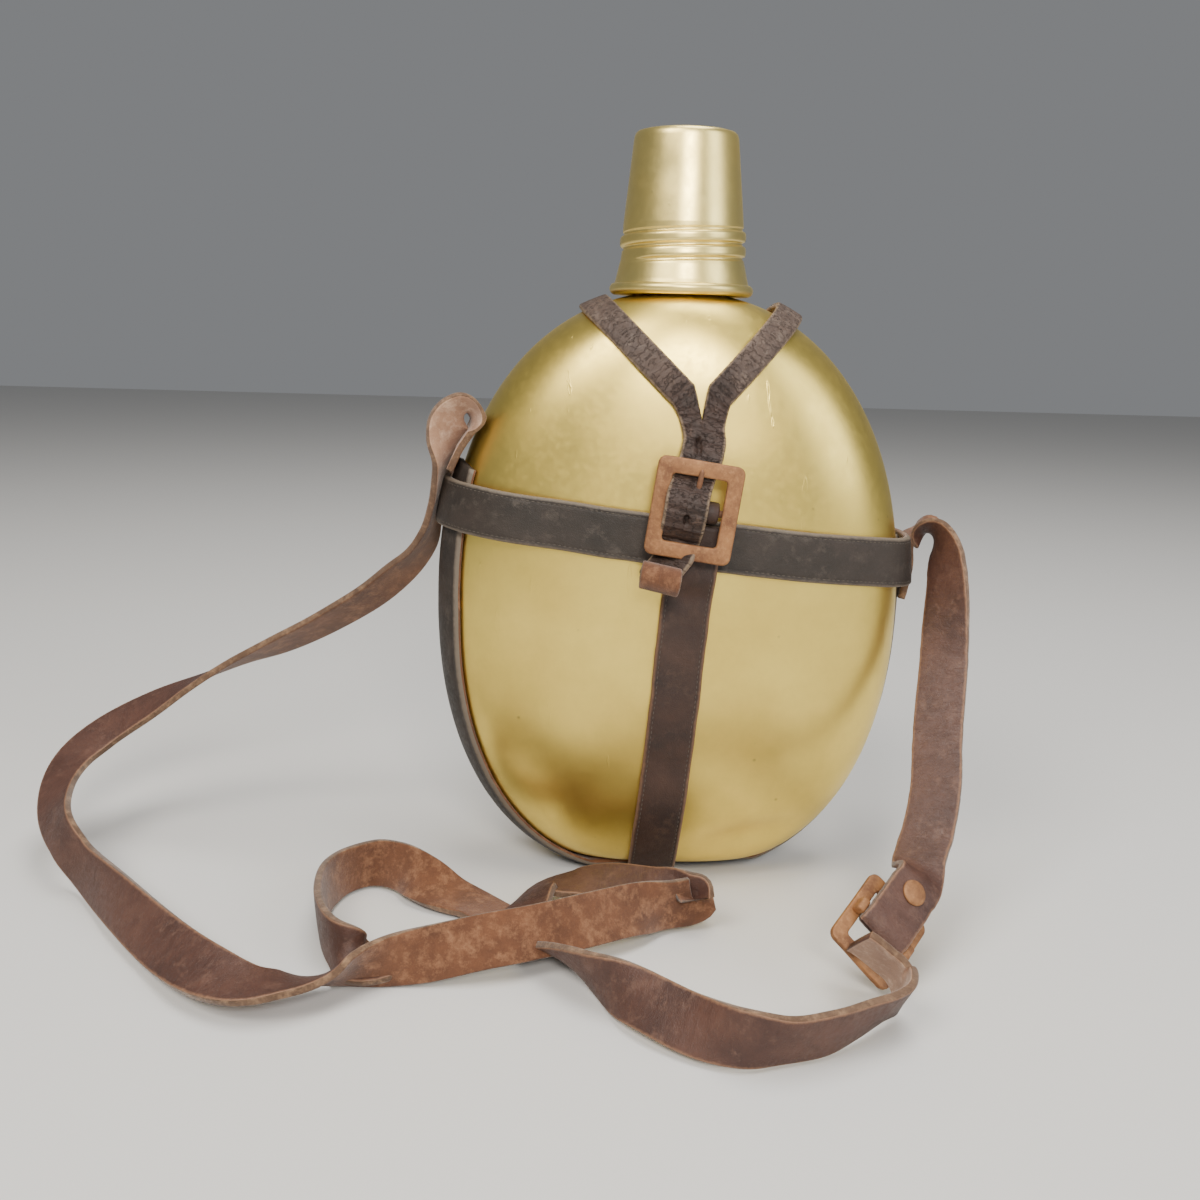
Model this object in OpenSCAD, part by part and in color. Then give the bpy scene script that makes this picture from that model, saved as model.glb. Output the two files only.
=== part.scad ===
// Field canteen: an egg-shaped metal flask with a screw-on drinking cup, held in a
// leather harness with a centre-bar buckle, and carried on a long leather sling.
// Millimetres, +Z up, the front faces -Y, the flask stands on the floor at z = 0.

/* [Flask] */
// Widest width of the flask, seen from the front
flask_w = 144.6; // [130:0.2:158]
// Depth of the flask from front to back
flask_d = 66; // [58:0.5:76]
// Height of the widest point above the floor
belly_z = 90; // [84:0.5:96]
// Height of the flask's shoulder, where the neck starts
shoulder_z = 187.4; // [184:0.2:190]
// Wall thickness of the flask
flask_wall = 1.1; // [0.8:0.1:1.6]
// Outer radius of the neck
neck_r = 14.4; // [13.6:0.1:14.8]
// Height of the neck's mouth
neck_top = 208; // [204:0.5:209]

/* [Drinking cup] */
// Height of the closed end of the cup above the floor
cup_top = 234; // [232:0.5:238]
// Outer radius of the cup at its closed end
cup_end_r = 15.4; // [15:0.1:16]
// Outer radius of the rolled rim
cup_rim_r = 22.1; // [21.4:0.1:23]
// Wall thickness of the cup
cup_wall = 0.9; // [0.7:0.1:1]

/* [Harness] */
// Width of the wide straps
strap_w = 15; // [12:0.5:17]
// Thickness of the leather
strap_t = 2; // [1.6:0.1:2.4]
// Width of each branch of the yoke
branch_w = 8.6; // [7:0.2:10]
// Width of the yoke's buckled tail
tail_w = 12.6; // [11:0.2:13]
// Lean of the harness against the flask, in degrees
harness_lean = 6; // [0:0.5:7]
// Height of the horizontal band at the middle
band_z = 114.6; // [108:0.2:118]

/* [Buckles] */
// Outer width of a buckle frame
buckle_w = 25.2; // [24:0.2:27]
// Outer height of a buckle frame
buckle_h = 28.8; // [28:0.2:31]
// Width of the flat rim of a buckle frame
buckle_rim = 4.6; // [4:0.2:5]
// Thickness of a buckle frame
buckle_t = 1.8; // [1.4:0.1:2.2]

/* [Sling] */
// Width of the sling
sling_w = 15; // [12:0.5:16]
// Thickness of the sling
sling_t = 2.2; // [1.8:0.1:2.6]

/* [Hidden] */
$fn = 96;

// ---------- colours ----------
metal_color = [0.82, 0.74, 0.46];
dark_leather = [0.20, 0.16, 0.13];
tan_leather = [0.50, 0.33, 0.24];
rust_color = [0.72, 0.50, 0.36];
cork_color = [0.68, 0.50, 0.33];

// ---------- flask shape ----------
gap = 0.4;                        // between a strap and what it lies on
layer = strap_t + 0.3;            // one strap that another one passes over
under = gap + layer + strap_t;    // the flask's base clears the two straps below it
flask_sides = 64;                 // facets around the flask
belly_power = 2.5;                // plan shape of the belly, 2 is an ellipse
upper_power = 2.2;                // outline above the widest point
lower_power = [2.2, 2.6];         // outline below the widest point
lower_depth = [2.6, 2.6];         // side outline below the widest point
upper_depth = [2.6, 5.5];         // side outline above it, full up to the shoulder

function bulge(u, p) = pow(max(0, 1 - pow(min(1, abs(u)), p[0])), 1 / p[1]);
function rise(z) = z > belly_z ? (z - belly_z) / (shoulder_z - belly_z) : (belly_z - z) / belly_z;
function half_w(z) = max(neck_r,
  flask_w / 2 * bulge(rise(z), z > belly_z ? [upper_power, upper_power] : lower_power));
function half_d(z) = max(neck_r,
  flask_d / 2 * bulge(rise(z), z > belly_z ? upper_depth : lower_depth));
function plan_power(z) = z > belly_z
  ? 2 + (belly_power - 2) * (1 - pow(min(1, rise(z)), 4)) : belly_power;
function outside(p) = p[2] < under ? 1
  : pow(abs(p[0]) / half_w(p[2]), plan_power(p[2]))
  + pow(abs(p[1]) / half_d(p[2]), plan_power(p[2])) - 1;

// The distance along the ray from c in direction d at which it leaves the flask.
function leave(c, d, lo = 0, hi = 140, i = 20) = i == 0 ? lo
  : outside(c + d * (lo + hi) / 2) > 0 ? leave(c, d, lo, (lo + hi) / 2, i - 1)
  : leave(c, d, (lo + hi) / 2, hi, i - 1);

function plan_point(z, a, w, d, n) = [
  w * sign(cos(a)) * pow(abs(cos(a)), 2 / n),
  d * sign(sin(a)) * pow(abs(sin(a)), 2 / n),
  z
];
function flask_ring(z, inset) = [
  for (i = [0 : flask_sides - 1])
    plan_point(z, i * 360 / flask_sides, half_w(z) - inset, half_d(z) - inset, plan_power(z))
];

// Closed solid through equal rings of points. The faces are turned outwards
// whichever way round the rings run.
function sum(list, i = 0, total = 0) = i == len(list) ? total : sum(list, i + 1, total + list[i]);
function reversed(f) = [f[0], f[2], f[1]];
module ring_solid(rings, closed = false) {
  n = len(rings[0]);
  m = len(rings);
  points = [for (r = rings) for (p = r) p];
  last = closed ? m - 1 : m - 2;
  sides = [
    for (j = [0 : last]) for (i = [0 : n - 1])
      let (a = j * n + i, b = j * n + (i + 1) % n,
           c = ((j + 1) % m) * n + (i + 1) % n, d = ((j + 1) % m) * n + i)
        each [[a, c, b], [a, d, c]]
  ];
  start_cap = [for (i = [1 : n - 2]) [0, i, i + 1]];
  end_cap = [for (i = [1 : n - 2]) [(m - 1) * n, (m - 1) * n + i + 1, (m - 1) * n + i]];
  faces = closed ? sides : concat(sides, start_cap, end_cap);
  volume = sum([for (f = faces) cross(points[f[0]], points[f[1]]) * points[f[2]]]);
  polyhedron(points, volume < 0 ? faces : [for (f = faces) reversed(f)], convexity = 8);
}

flask_levels = concat(
  [under, under + 1.2, under + 4],
  [for (z = [12, 18, 26, 36, 48, 62, 76, 90, 104, 118, 130, 141, 151, 160, 168, 174, 179, 182.5, 185]) z],
  [shoulder_z - 0.8, shoulder_z + 0.5, neck_top]
);
base_inset = [5, 1.6, 0];         // rounding of the edge around the base

function outer_inset(k) = k < 3 ? base_inset[k] : 0;
function inner_inset(k) = outer_inset(k) + flask_wall;

module flask_body() {
  m = len(flask_levels);
  outer = [for (k = [0 : m - 1]) flask_ring(flask_levels[k], outer_inset(k))];
  inner = [for (k = [m - 1 : -1 : 0])
    let (ring = flask_ring(flask_levels[k], inner_inset(k)))
      [for (p = ring) [p[0], p[1], k == 0 ? under + flask_wall : p[2]]]];
  color(metal_color) ring_solid(concat(outer, inner));
}

// ---------- neck, stopper and cup ----------
collar_r = neck_r + 0.9;
thread_r = neck_r + 1.4;
collar_z = shoulder_z + 2;
thread_pitch = 4;
bore_r = neck_r - flask_wall;

module neck_collar() {
  color(metal_color) difference() {
    union() {
      translate([0, 0, collar_z]) cylinder(r = collar_r, h = neck_top - collar_z - 0.6);
      for (k = [0 : 2])
        translate([0, 0, collar_z + 7 + k * thread_pitch])
          rotate_extrude() polygon([[neck_r + 0.2, -1.2], [collar_r, -1.2], [thread_r, -0.3],
                                    [thread_r, 0.3], [collar_r, 1.2], [neck_r + 0.2, 1.2]]);
    }
    translate([0, 0, collar_z - 1]) cylinder(r = neck_r + 0.1, h = 40);
  }
}

cork_len = 15;
plate_t = 1.2;
stem_r = 1.5;

module stopper_cork() {
  color(cork_color) difference() {
    translate([0, 0, neck_top - cork_len])
      cylinder(r1 = bore_r - 0.9, r2 = bore_r - 0.2, h = cork_len);
    translate([0, 0, neck_top - cork_len - 1]) cylinder(r = stem_r + 0.1, h = cork_len + 2);
  }
}

module stopper_plate() {
  color(metal_color) difference() {
    translate([0, 0, neck_top + 0.2]) cylinder(r = neck_r - 0.2, h = plate_t);
    translate([0, 0, neck_top - 1]) cylinder(r = stem_r + 0.1, h = 4);
  }
}

module stopper_washer() {
  color(metal_color) difference() {
    translate([0, 0, neck_top - cork_len - 1.4]) cylinder(r = 7, h = 1.2);
    translate([0, 0, neck_top - cork_len - 2]) cylinder(r = stem_r + 0.1, h = 3);
  }
}

module stopper_stem() {
  foot = neck_top - cork_len - 3;
  top = neck_top + 0.2 + plate_t;
  color(metal_color) {
    translate([0, 0, foot]) cylinder(r = stem_r, h = top - foot + 1);
    translate([0, 0, foot - 0.2]) cylinder(r = stem_r + 1.3, h = 1.6);
    translate([0, 0, top + 0.2]) rotate_extrude()
      polygon([[0, 0], [3.4, 0], [2.6, 2.4], [4.4, 3.6], [4.4, 4.6], [3.2, 5.4], [0, 5.4]]);
  }
}

seal_r = 18.2;
seal_z = shoulder_z + 1;

module cup_seal() {
  color(dark_leather) difference() {
    translate([0, 0, seal_z]) cylinder(r = seal_r, h = 1.4);
    translate([0, 0, seal_z - 1]) cylinder(r = thread_r + 0.5, h = 4);
  }
}

cup_foot = shoulder_z - 1.5;
cup_profile = [
  [20.4, cup_foot + 2.4], [19.8, cup_foot + 6.4], [19.1, cup_foot + 9.2], [18.7, cup_foot + 10.2],
  [19.4, cup_foot + 11.4], [19.3, cup_foot + 13.2], [18.5, cup_foot + 14.4],
  [19.2, cup_foot + 15.6], [19.1, cup_foot + 17.4], [18.3, cup_foot + 18.6],
  [18.3, cup_foot + 21], [17.6, cup_foot + 28], [cup_end_r + 0.3, cup_top - 1.6],
  [cup_end_r - 0.2, cup_top - 0.5], [cup_end_r - 1.2, cup_top]
];
cup_inside = [
  [cup_end_r - 1.2, cup_top - cup_wall], [cup_end_r - 0.6, cup_top - 1.6],
  [17.6 - cup_wall, cup_foot + 28], [18.3 - cup_wall, cup_foot + 18.6],
  [18.7 - cup_wall, cup_foot + 10.2], [20.4 - cup_wall, cup_foot + 2.4]
];

module drinking_cup() {
  color(metal_color) {
    rotate_extrude() polygon(concat(
      cup_profile, [[0, cup_top], [0, cup_top - cup_wall]], cup_inside));
    translate([0, 0, cup_foot + 1.8]) rotate_extrude()
      translate([cup_rim_r - 1.7, 0]) circle(r = 1.7, $fn = 24);
  }
}

// ---------- straps that lie on the flask ----------
// A strap follows the cut of a plane through the flask. The plane has its core at
// c, the axes e1 and e2, and the strap's width along their normal.
function unit(v) = v / norm(v);
function ray_dir(e1, e2, a) = cos(a) * e1 + sin(a) * e2;
function skin(c, e1, e2, a) = c + ray_dir(e1, e2, a) * leave(c, ray_dir(e1, e2, a));
function skin_normal(c, e1, e2, a) = let (step = 1.5,
  along = skin(c, e1, e2, a + step) - skin(c, e1, e2, a - step))
  unit(cross(along, cross(e1, e2)));
// One ring: across the width on the flesh side, then back on the grain side.
function strap_ring(c, e1, e2, a, w, lift, t) = let (
  e3 = unit(cross(e1, e2)), cols = [-w / 2, 0, w / 2])
  concat(
    [for (k = [0 : 2]) let (q = c + e3 * cols[k])
      skin(q, e1, e2, a) + skin_normal(q, e1, e2, a) * lift],
    [for (k = [2 : -1 : 0]) let (q = c + e3 * cols[k])
      skin(q, e1, e2, a) + skin_normal(q, e1, e2, a) * (lift + t)]);

lean_side = [cos(harness_lean), 0, -sin(harness_lean)];
back_dir = [0, 1, 0];

// 1 within flat degrees of an angle, easing to 0 at wide degrees
function full_near(a, at, flat, wide) = let (d = abs(((a - at) % 360 + 540) % 360 - 180))
  d < flat ? 1 : d > wide ? 0 : 0.5 + 0.5 * cos(180 * (d - flat) / (wide - flat));
function ramp(x, lo, hi) = x < lo ? 0 : x > hi ? 1 : 0.5 - 0.5 * cos(180 * (x - lo) / (hi - lo));

// The band passes outside the cradle on both sides.
function band_lift(a) = gap + (layer + 0.2) * full_near(a, 188, 14, 32)
  + layer * full_near(a, 5, 12, 28);

module band_strap() {
  color(dark_leather) ring_solid([
    for (a = [0 : 4 : 356])
      strap_ring([0, 0, band_z], lean_side, back_dir, a, strap_w, band_lift(a), strap_t)
  ], closed = true);
}

// The front strap runs from the buckle's bar down the front, under the base and up
// the back, over the band. Angle 0 is down, -90 the front and 90 the back.
upright_lean = 4.6;
upright_x = -4.5;                 // where the strap passes under the base
upright_up = [sin(upright_lean), 0, cos(upright_lean)];
upright_core = [upright_x + 80 * tan(upright_lean), 0, 80];
function front_lift(a) = gap + layer * ramp(abs(a), 118, 128) + layer * full_near(a, 0, 26, 44);

module front_strap() {
  color(dark_leather) union() {
    ring_solid([
      for (a = [-141 : 3 : 144])
        strap_ring(upright_core, -upright_up, back_dir, a, strap_w, front_lift(a), strap_t)
    ]);
    front_buckle_place() bar_loop(strap_w - 0.8, -14);
  }
}

// The cradle runs up both sides and under the base, inside the front strap. It is
// turned a little, so its left side shows at the front and its right side hardly does.
cradle_yaw = 8.5;
cradle_side = [cos(cradle_yaw), sin(cradle_yaw), 0];
module cradle_strap() {
  color(dark_leather) ring_solid([
    for (a = [146 : 4 : 378])
      strap_ring([0, -1, belly_z], cradle_side, [0, 0, 1], a, strap_w, gap, strap_t)
  ]);
}

// ---------- yoke ----------
yoke_core = [5.6, 0, 152];
left_dir = unit([-32, 0, 31]);
right_dir = unit([26, 0, 28.5]);
front_dir = [0, -1, 0];

module branch(dir, stand) {
  ring_solid([
    for (a = [-3 : 6 : 183])
      strap_ring(yoke_core, front_dir, dir, a, branch_w,
        gap + stand * full_near(a, 90, 4, 40), strap_t)
  ]);
}

// The tail in the front buckle's own frame: behind the top rim, over the bar, behind
// the bottom rim and forward into a roll. Each point is [x, y, z].
tail_route = [
  [0.4, 8.2, 31], [0.2, 8, 25], [0, 7, 19.5], [-0.4, 3.6, 15.5], [-1, 2.4, 12.5],
  [-1.6, 2.1, 9.6], [-2.2, -0.1, 6.6], [-2.6, -2.2, 3.6], [-2.6, -2.6, 0.6],
  [-2.6, -2.2, -2.6], [-2.6, -0.6, -5.6], [-2.8, 2, -8.8], [-3.2, 2.4, -11.6], [-3.8, 2.2, -15]
];
roll_at = [-6.2, -2.3, -20];
roll_r = 4.3;
roll_turn = 470;
roll_route = [
  for (a = [0 : 26 : roll_turn])
    let (r = roll_r - 2.3 * a / 360)
      [roll_at[0] - 0.3, roll_at[1] + r * cos(a), roll_at[2] - r * sin(a)]
];

// A flat strip with its width along x, swept along points of the y-z plane.
function strip_rings(route, w, t) = [
  for (k = [0 : len(route) - 1])
    let (a = route[max(0, k - 1)], b = route[min(len(route) - 1, k + 1)],
         d = unit([0, b[1] - a[1], b[2] - a[2]]), n = [0, -d[2], d[1]] * t / 2, h = [w / 2, 0, 0])
      [route[k] - h + n, route[k] - h - n, route[k] + h - n, route[k] + h + n]
];

module yoke_left() {
  color(dark_leather) branch(left_dir, 0);
}

module yoke_right() {
  color(dark_leather) branch(right_dir, 1.6);
}

module yoke_tail() {
  color(dark_leather) front_buckle_place() difference() {
    ring_solid(strip_rings(concat(tail_route, roll_route), tail_w, strap_t));
    translate([-1.4, 0, 6.8]) cube([4.6, 9, 7.4], center = true);
    translate([-2.6, -3, -2.4]) rotate([90, 0, 0]) cylinder(r = 0.9, h = 4, center = true);
    translate([0, 8, 21.6]) rotate([90, 0, 0]) cylinder(r = 0.9, h = 12, center = true);
  }
}

// The tab joins the branches at the back to the front strap's rear end. Angle 0 is up.
module back_tab() {
  color(dark_leather) ring_solid([
    for (a = [18 : 2 : 40])
      strap_ring(upright_core, upright_up, back_dir, a, tail_w,
        gap + layer * 2 * ramp(a, 26, 32), strap_t)
  ]);
}

// ---------- buckles ----------
front_buckle_at = [3.95, -41.4, 125];
front_buckle_lean = 8;
module front_buckle_place() {
  translate(front_buckle_at) rotate([-2, 0, 0]) rotate([0, front_buckle_lean, 0]) children();
}
sling_buckle_at = [56.4, -80, 15.4];
sling_buckle_turn = [-54, 44, -14];
sling_buckle_size = 0.87;
module sling_buckle_place() {
  translate(sling_buckle_at) rotate(sling_buckle_turn) rotate([180, 0, 0]) children();
}

bar_y = 2.3;                      // the bar sits behind the frame's plate
bar_r = 1.1;
corner_r = 2.4;

module rounded(w, h, r) {
  square([w - 2 * r, h], center = true);
  square([w, h - 2 * r], center = true);
  for (x = [-1, 1]) for (z = [-1, 1])
    translate([x * (w / 2 - r), z * (h / 2 - r)]) circle(r = r, $fn = 24);
}

module buckle_frame(s = 1) {
  w = buckle_w * s;
  h = buckle_h * s;
  rim = buckle_rim * s;
  color(rust_color) {
    rotate([90, 0, 0]) linear_extrude(buckle_t, center = true) difference() {
      rounded(w, h, corner_r);
      rounded(w - 2 * rim, h - 2 * rim, 0.8);
    }
    for (x = [-1, 1]) difference() {
      translate([x * (w / 2 - rim / 2 - 0.2), buckle_t / 2 + 1.6, 0])
        cube([2.6, 3.2, 4.4], center = true);
      translate([0, bar_y, 0]) rotate([0, 90, 0]) cylinder(r = bar_r + 0.05, h = w, center = true);
    }
  }
}

module buckle_bar(s = 1) {
  color(rust_color) translate([0, bar_y, 0]) rotate([0, 90, 0])
    cylinder(r = bar_r, h = buckle_w * s - buckle_rim * s + 1.6, center = true);
}

prong_r = 0.75;
module buckle_prong(s = 1, turn = 0) {
  reach = buckle_h * s / 2 - buckle_rim * s * 0.45;
  front = -buckle_t / 2 - prong_r - 1.5;
  angle = atan2(bar_y - front, reach);
  color(rust_color) translate([0, bar_y, 0]) rotate([angle, 0, 0]) difference() {
    union() {
      rotate([0, 90, 0]) cylinder(r = bar_r + 1, h = 2, center = true);
      translate([0, 0, 1]) cylinder(r1 = prong_r + 0.15, r2 = prong_r, h = reach - 1);
      translate([0, 0, reach]) cylinder(r1 = prong_r, r2 = 0.3, h = 0.9);
    }
    rotate([0, 90, 0]) cylinder(r = bar_r + 0.08, h = 4, center = true);
  }
}

// The end of a strap that is folded round a bar, with a slot for the prong.
module bar_loop(w, below) {
  inner = bar_r + 0.15;
  difference() {
    union() {
      translate([0, bar_y, 0]) rotate([0, 90, 0]) cylinder(r = inner + strap_t, h = w, center = true);
      translate([-w / 2, bar_y + inner, min(0, below)]) cube([w, strap_t, abs(below)]);
    }
    translate([0, bar_y, 0]) rotate([0, 90, 0]) cylinder(r = inner, h = w + 2, center = true);
    translate([0, bar_y - 2.5, 0]) cube([2.8, 10, 12], center = true);
  }
}

module front_buckle_frame() { front_buckle_place() buckle_frame(); }
module front_buckle_bar() { front_buckle_place() buckle_bar(); }
module front_buckle_prong() { front_buckle_place() buckle_prong(); }
module sling_buckle_frame() { sling_buckle_place() buckle_frame(sling_buckle_size); }
module sling_buckle_bar() { sling_buckle_place() buckle_bar(sling_buckle_size); }
module sling_buckle_prong() { sling_buckle_place() buckle_prong(sling_buckle_size); }

// ---------- rivets ----------
module rivet(r, grip) {
  rotate([90, 0, 0]) {
    cylinder(r = r * 0.45, h = grip, center = true);
    for (s = [-1, 1]) translate([0, 0, s * grip / 2]) rotate([s < 0 ? 180 : 0, 0, 0])
      rotate_extrude() polygon([[0, 0], [r, 0], [r * 0.92, 0.45], [r * 0.5, 0.85], [0, 1]]);
  }
}

module front_rivet() {
  color(rust_color) front_buckle_place() translate([0, 5, -7.6]) rivet(2.4, 3.2);
}

back_rivet_z = [118.6, 125.6];
module back_rivets() {
  color(rust_color) for (z = back_rivet_z)
    translate([upright_x + z * tan(upright_lean), half_d(z) + 4.2, z]) rivet(2.6, 5.6);
}

// ---------- sling ----------
// Each row is a point of the middle line and the direction of the strip's width.
long_route = [
  [[-66, -8, 137.5], [-0.1, 1, 0]], [[-65, -8, 141.5], [-0.1, 1, 0.1]],
  [[-63, -8.5, 145.5], [-0.1, 1, 0.2]], [[-63.5, -10.5, 150], [-0.6, 0.7, 0.2]],
  [[-66.5, -12.5, 150], [0.1, 0.7, -0.7]], [[-69.5, -13, 147], [0.7, 0.6, -0.4]],
  [[-71, -12, 142.5], [0.7, 0.7, 0.1]], [[-71.5, -10, 136.5], [0.4, 0.9, 0.4]],
  [[-73.5, -6, 129.5], [0.2, 0.9, 0.4]], [[-75.5, -2, 121], [0.2, 0.9, 0.4]],
  [[-78, 2, 112.5], [0.3, 0.9, 0.3]], [[-81.5, 5, 104], [0.5, 0.9, 0]],
  [[-88.5, 8, 96], [0.5, 0.8, -0.3]], [[-99.5, 11, 86.5], [0.5, 0.8, -0.4]],
  [[-115, 14, 76.5], [0.4, 0.8, -0.4]], [[-131, 16, 68], [0.3, 0.9, -0.4]],
  [[-145.5, 17, 61.5], [0.2, 1, -0.2]], [[-160.5, 18, 53.5], [0, 1, 0]],
  [[-177, 17, 44.5], [-0.3, 0.9, 0.3]], [[-192, 13, 35.5], [-0.6, 0.7, 0.3]],
  [[-199.5, 3, 28.5], [-0.9, 0.3, -0.1]], [[-198.5, -12, 22], [-0.8, 0, -0.6]],
  [[-189.5, -31, 17.5], [-0.5, 0.1, -0.9]], [[-178.5, -40, 9.5], [-0.3, 0, -1]],
  [[-158, -64, 9], [-0.4, -0.3, -0.9]], [[-140, -83, 8], [-0.5, -0.5, -0.7]],
  [[-125.5, -97, 8.5], [-0.5, -0.7, -0.5]], [[-113, -104, 8], [-0.3, -0.9, -0.2]],
  [[-102.5, -103.5, 8], [0.3, -1, 0.1]], [[-93.5, -99, 7], [0.5, -0.8, 0.5]],
  [[-86.5, -94, 7.5], [0.2, -0.5, 0.8]], [[-77, -90, 8], [0, -0.1, 1]],
  [[-66, -87, 9], [-0.2, 0.2, 1]], [[-52.5, -84, 11], [-0.2, 0.4, 0.9]],
  [[-39.5, -80, 12], [-0.2, 0.4, 0.9]], [[-26, -72.5, 12], [-0.2, 0.4, 0.9]],
  [[-11.5, -62, 11], [-0.2, 0.4, 0.9]], [[-1.5, -55, 9.5], [0, 0, 1]],
  [[6.5, -52, 9.5], [0, 0, 1]], [[8, -51.5, 10.5], [0, 0, 1]], [[5.5, -51, 11], [0, 0, 1]],
  [[-4, -49, 11.5], [0.2, 0.7, 0.6]], [[-16.5, -43.5, 11], [0.2, 0.9, 0.4]],
  [[-28, -42, 10], [0.1, 1, 0.1]], [[-38, -41.5, 7.5], [-0.2, 0.9, -0.3]],
  [[-46, -62, 5], [-0.6, 0.8, 0]], [[-59, -72, 5], [-0.6, 0.8, 0]],
  [[-72, -80, 4.5], [-0.4, 0.9, 0]], [[-83, -85.5, 5], [-0.2, 0.9, 0.3]],
  [[-90, -84.5, 7.5], [-0.3, 0.5, 0.8]], [[-96.5, -76.5, 8.5], [-0.1, 0.1, 1]],
  [[-101.5, -62, 8.5], [-0.1, 0, 1]], [[-103, -46.5, 8.5], [-0.1, 0.1, 1]],
  [[-99.5, -34.5, 8.5], [0, 0, 1]], [[-92, -28, 8.5], [0.1, 0, 1]],
  [[-83, -30.5, 8.5], [0.1, 0.2, 1]], [[-75, -36, 7], [0.4, 0.6, 0.7]],
  [[-67, -39.5, 4], [0.6, 0.7, 0.2]], [[-58.5, -43, 2], [0.7, 0.7, 0]],
  [[-50, -51, 1.5], [0.7, 0.7, 0]], [[-42, -59, 2], [0.6, 0.8, 0]],
  [[-33.5, -76, 5], [0.3, 0.9, -0.4]], [[-22.5, -94.5, 8], [0.1, 0.4, -0.9]],
  [[-9.5, -107, 8.5], [-0.4, -0.4, -0.9]], [[2.5, -117.5, 8], [-0.3, -0.4, -0.8]],
  [[14, -125.5, 9], [0, -0.1, -1]], [[25, -125.5, 8.5], [-0.1, 0.3, -1]],
  [[36.5, -121.5, 8.5], [-0.1, 0.3, -0.9]], [[46, -115.5, 9], [-0.2, 0.4, -0.9]],
  [[53, -110.5, 9.5], [0.1, 0.7, -0.7]], [[57.5, -106, 10], [0, 0.7, -0.7]],
  [[59, -101, 11], [-0.1, 0.7, -0.7]], [[57.5, -98, 13.5], [-0.1, 0.7, -0.7]],
  [[54, -96.5, 16], [-0.1, 0.7, -0.7]], [[50.5, -95.5, 18.5], [-0.1, 0.7, -0.7]],
  [[48, -95, 20], [-0.1, 0.7, -0.7]]
];

short_route = [
  [[76, 9, 92], [0, 1, 0]], [[77.8, 9, 102], [0, 1, 0]], [[77.6, 8.5, 110], [0, 1, 0]],
  [[80.5, 8, 112], [0, 1, 0.1]], [[83, 5, 114.5], [0, 1, 0]], [[85.5, 1, 113], [-0.2, 1, 0]],
  [[87, -4, 107.5], [-0.4, 0.9, 0]], [[87, -9, 99], [-0.6, 0.7, -0.3]],
  [[86.5, -13, 88.5], [-0.8, 0.6, -0.2]], [[85.5, -18, 77], [-0.9, 0.5, -0.1]],
  [[83.5, -25, 66], [-0.9, 0.4, -0.1]], [[81.5, -33, 54], [-0.9, 0.4, -0.1]],
  [[79.5, -42, 43.5], [-0.9, 0.4, -0.1]], [[76, -51, 34], [-0.9, 0.4, 0]],
  [[71, -61, 27.5], [-0.9, 0.4, 0]]
];

// Points of a buckle's own frame in the model's frame. The sling's buckle lies turned
// over, with its bar side up.
function turn_x(p, a) = [p[0], p[1] * cos(a) - p[2] * sin(a), p[1] * sin(a) + p[2] * cos(a)];
function turn_y(p, a) = [p[0] * cos(a) + p[2] * sin(a), p[1], p[2] * cos(a) - p[0] * sin(a)];
function turn_z(p, a) = [p[0] * cos(a) - p[1] * sin(a), p[0] * sin(a) + p[1] * cos(a), p[2]];
function sling_turned(p) = turn_z(turn_y(turn_x(p, sling_buckle_turn[0]), sling_buckle_turn[1]),
  sling_buckle_turn[2]);
function from_buckle(p) = sling_buckle_at + sling_turned([p[0], -p[1], -p[2]]);
buckle_across = sling_turned([-1, 0, 0]);

short_full = concat(short_route, [
  for (z = [-19, -13, -7.4, -3.4]) [from_buckle([0, 4.6, z]), buckle_across]
]);

function spline(a, b, c, d, u) = 0.5 * (2 * b + (c - a) * u
  + (2 * a - 5 * b + 4 * c - d) * u * u + (3 * b - a - 3 * c + d) * u * u * u);
function at(list, k) = list[max(0, min(len(list) - 1, k))];
function smooth_route(r, steps) = [
  for (k = [0 : len(r) - 2]) for (s = [0 : steps - 1])
    let (u = s / steps)
      [for (j = [0, 1]) spline(at(r, k - 1)[j], at(r, k)[j], at(r, k + 1)[j], at(r, k + 2)[j], u)],
  r[len(r) - 1]
];
function sling_rings(r) = [
  for (k = [0 : len(r) - 1])
    let (d = unit(at(r, k + 1)[0] - at(r, k - 1)[0]),
         n = unit(cross(r[k][1], d)), v = cross(d, n),
         w = sling_w / 2, t = sling_t / 2, e = 0.5)
      [for (q = [[-w, -t + e], [-w + e, -t], [w - e, -t], [w, -t + e],
                 [w, t - e], [w - e, t], [-w + e, t], [-w, t - e]])
        r[k][0] + v * q[0] + n * q[1]]
];

module sling_long() {
  color(tan_leather) ring_solid(sling_rings(smooth_route(long_route, 2)));
}

module sling_short() {
  color(tan_leather) difference() {
    union() {
      ring_solid(sling_rings(smooth_route(short_full, 3)));
      sling_buckle_place() bar_loop(sling_w - 1.6, -4);
    }
    sling_buckle_place() translate([0, 4.6, -13.5]) rotate([90, 0, 0])
      cylinder(r = 1.7, h = 6, center = true);
  }
}

module sling_rivet() {
  color(rust_color) sling_buckle_place() translate([0, 4.6, -13.5]) rivet(3.7, 2.5);
}

flask_body();
neck_collar();
stopper_cork();
stopper_plate();
stopper_stem();
stopper_washer();
cup_seal();
drinking_cup();
band_strap();
front_strap();
cradle_strap();
yoke_left();
yoke_right();
yoke_tail();
back_tab();
back_rivets();
front_rivet();
front_buckle_frame();
front_buckle_bar();
front_buckle_prong();
sling_long();
sling_short();
sling_rivet();
sling_buckle_frame();
sling_buckle_bar();
sling_buckle_prong();
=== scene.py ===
"""Looks for the field canteen. Lengths are in millimetres until a mesh is made."""

import math

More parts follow.
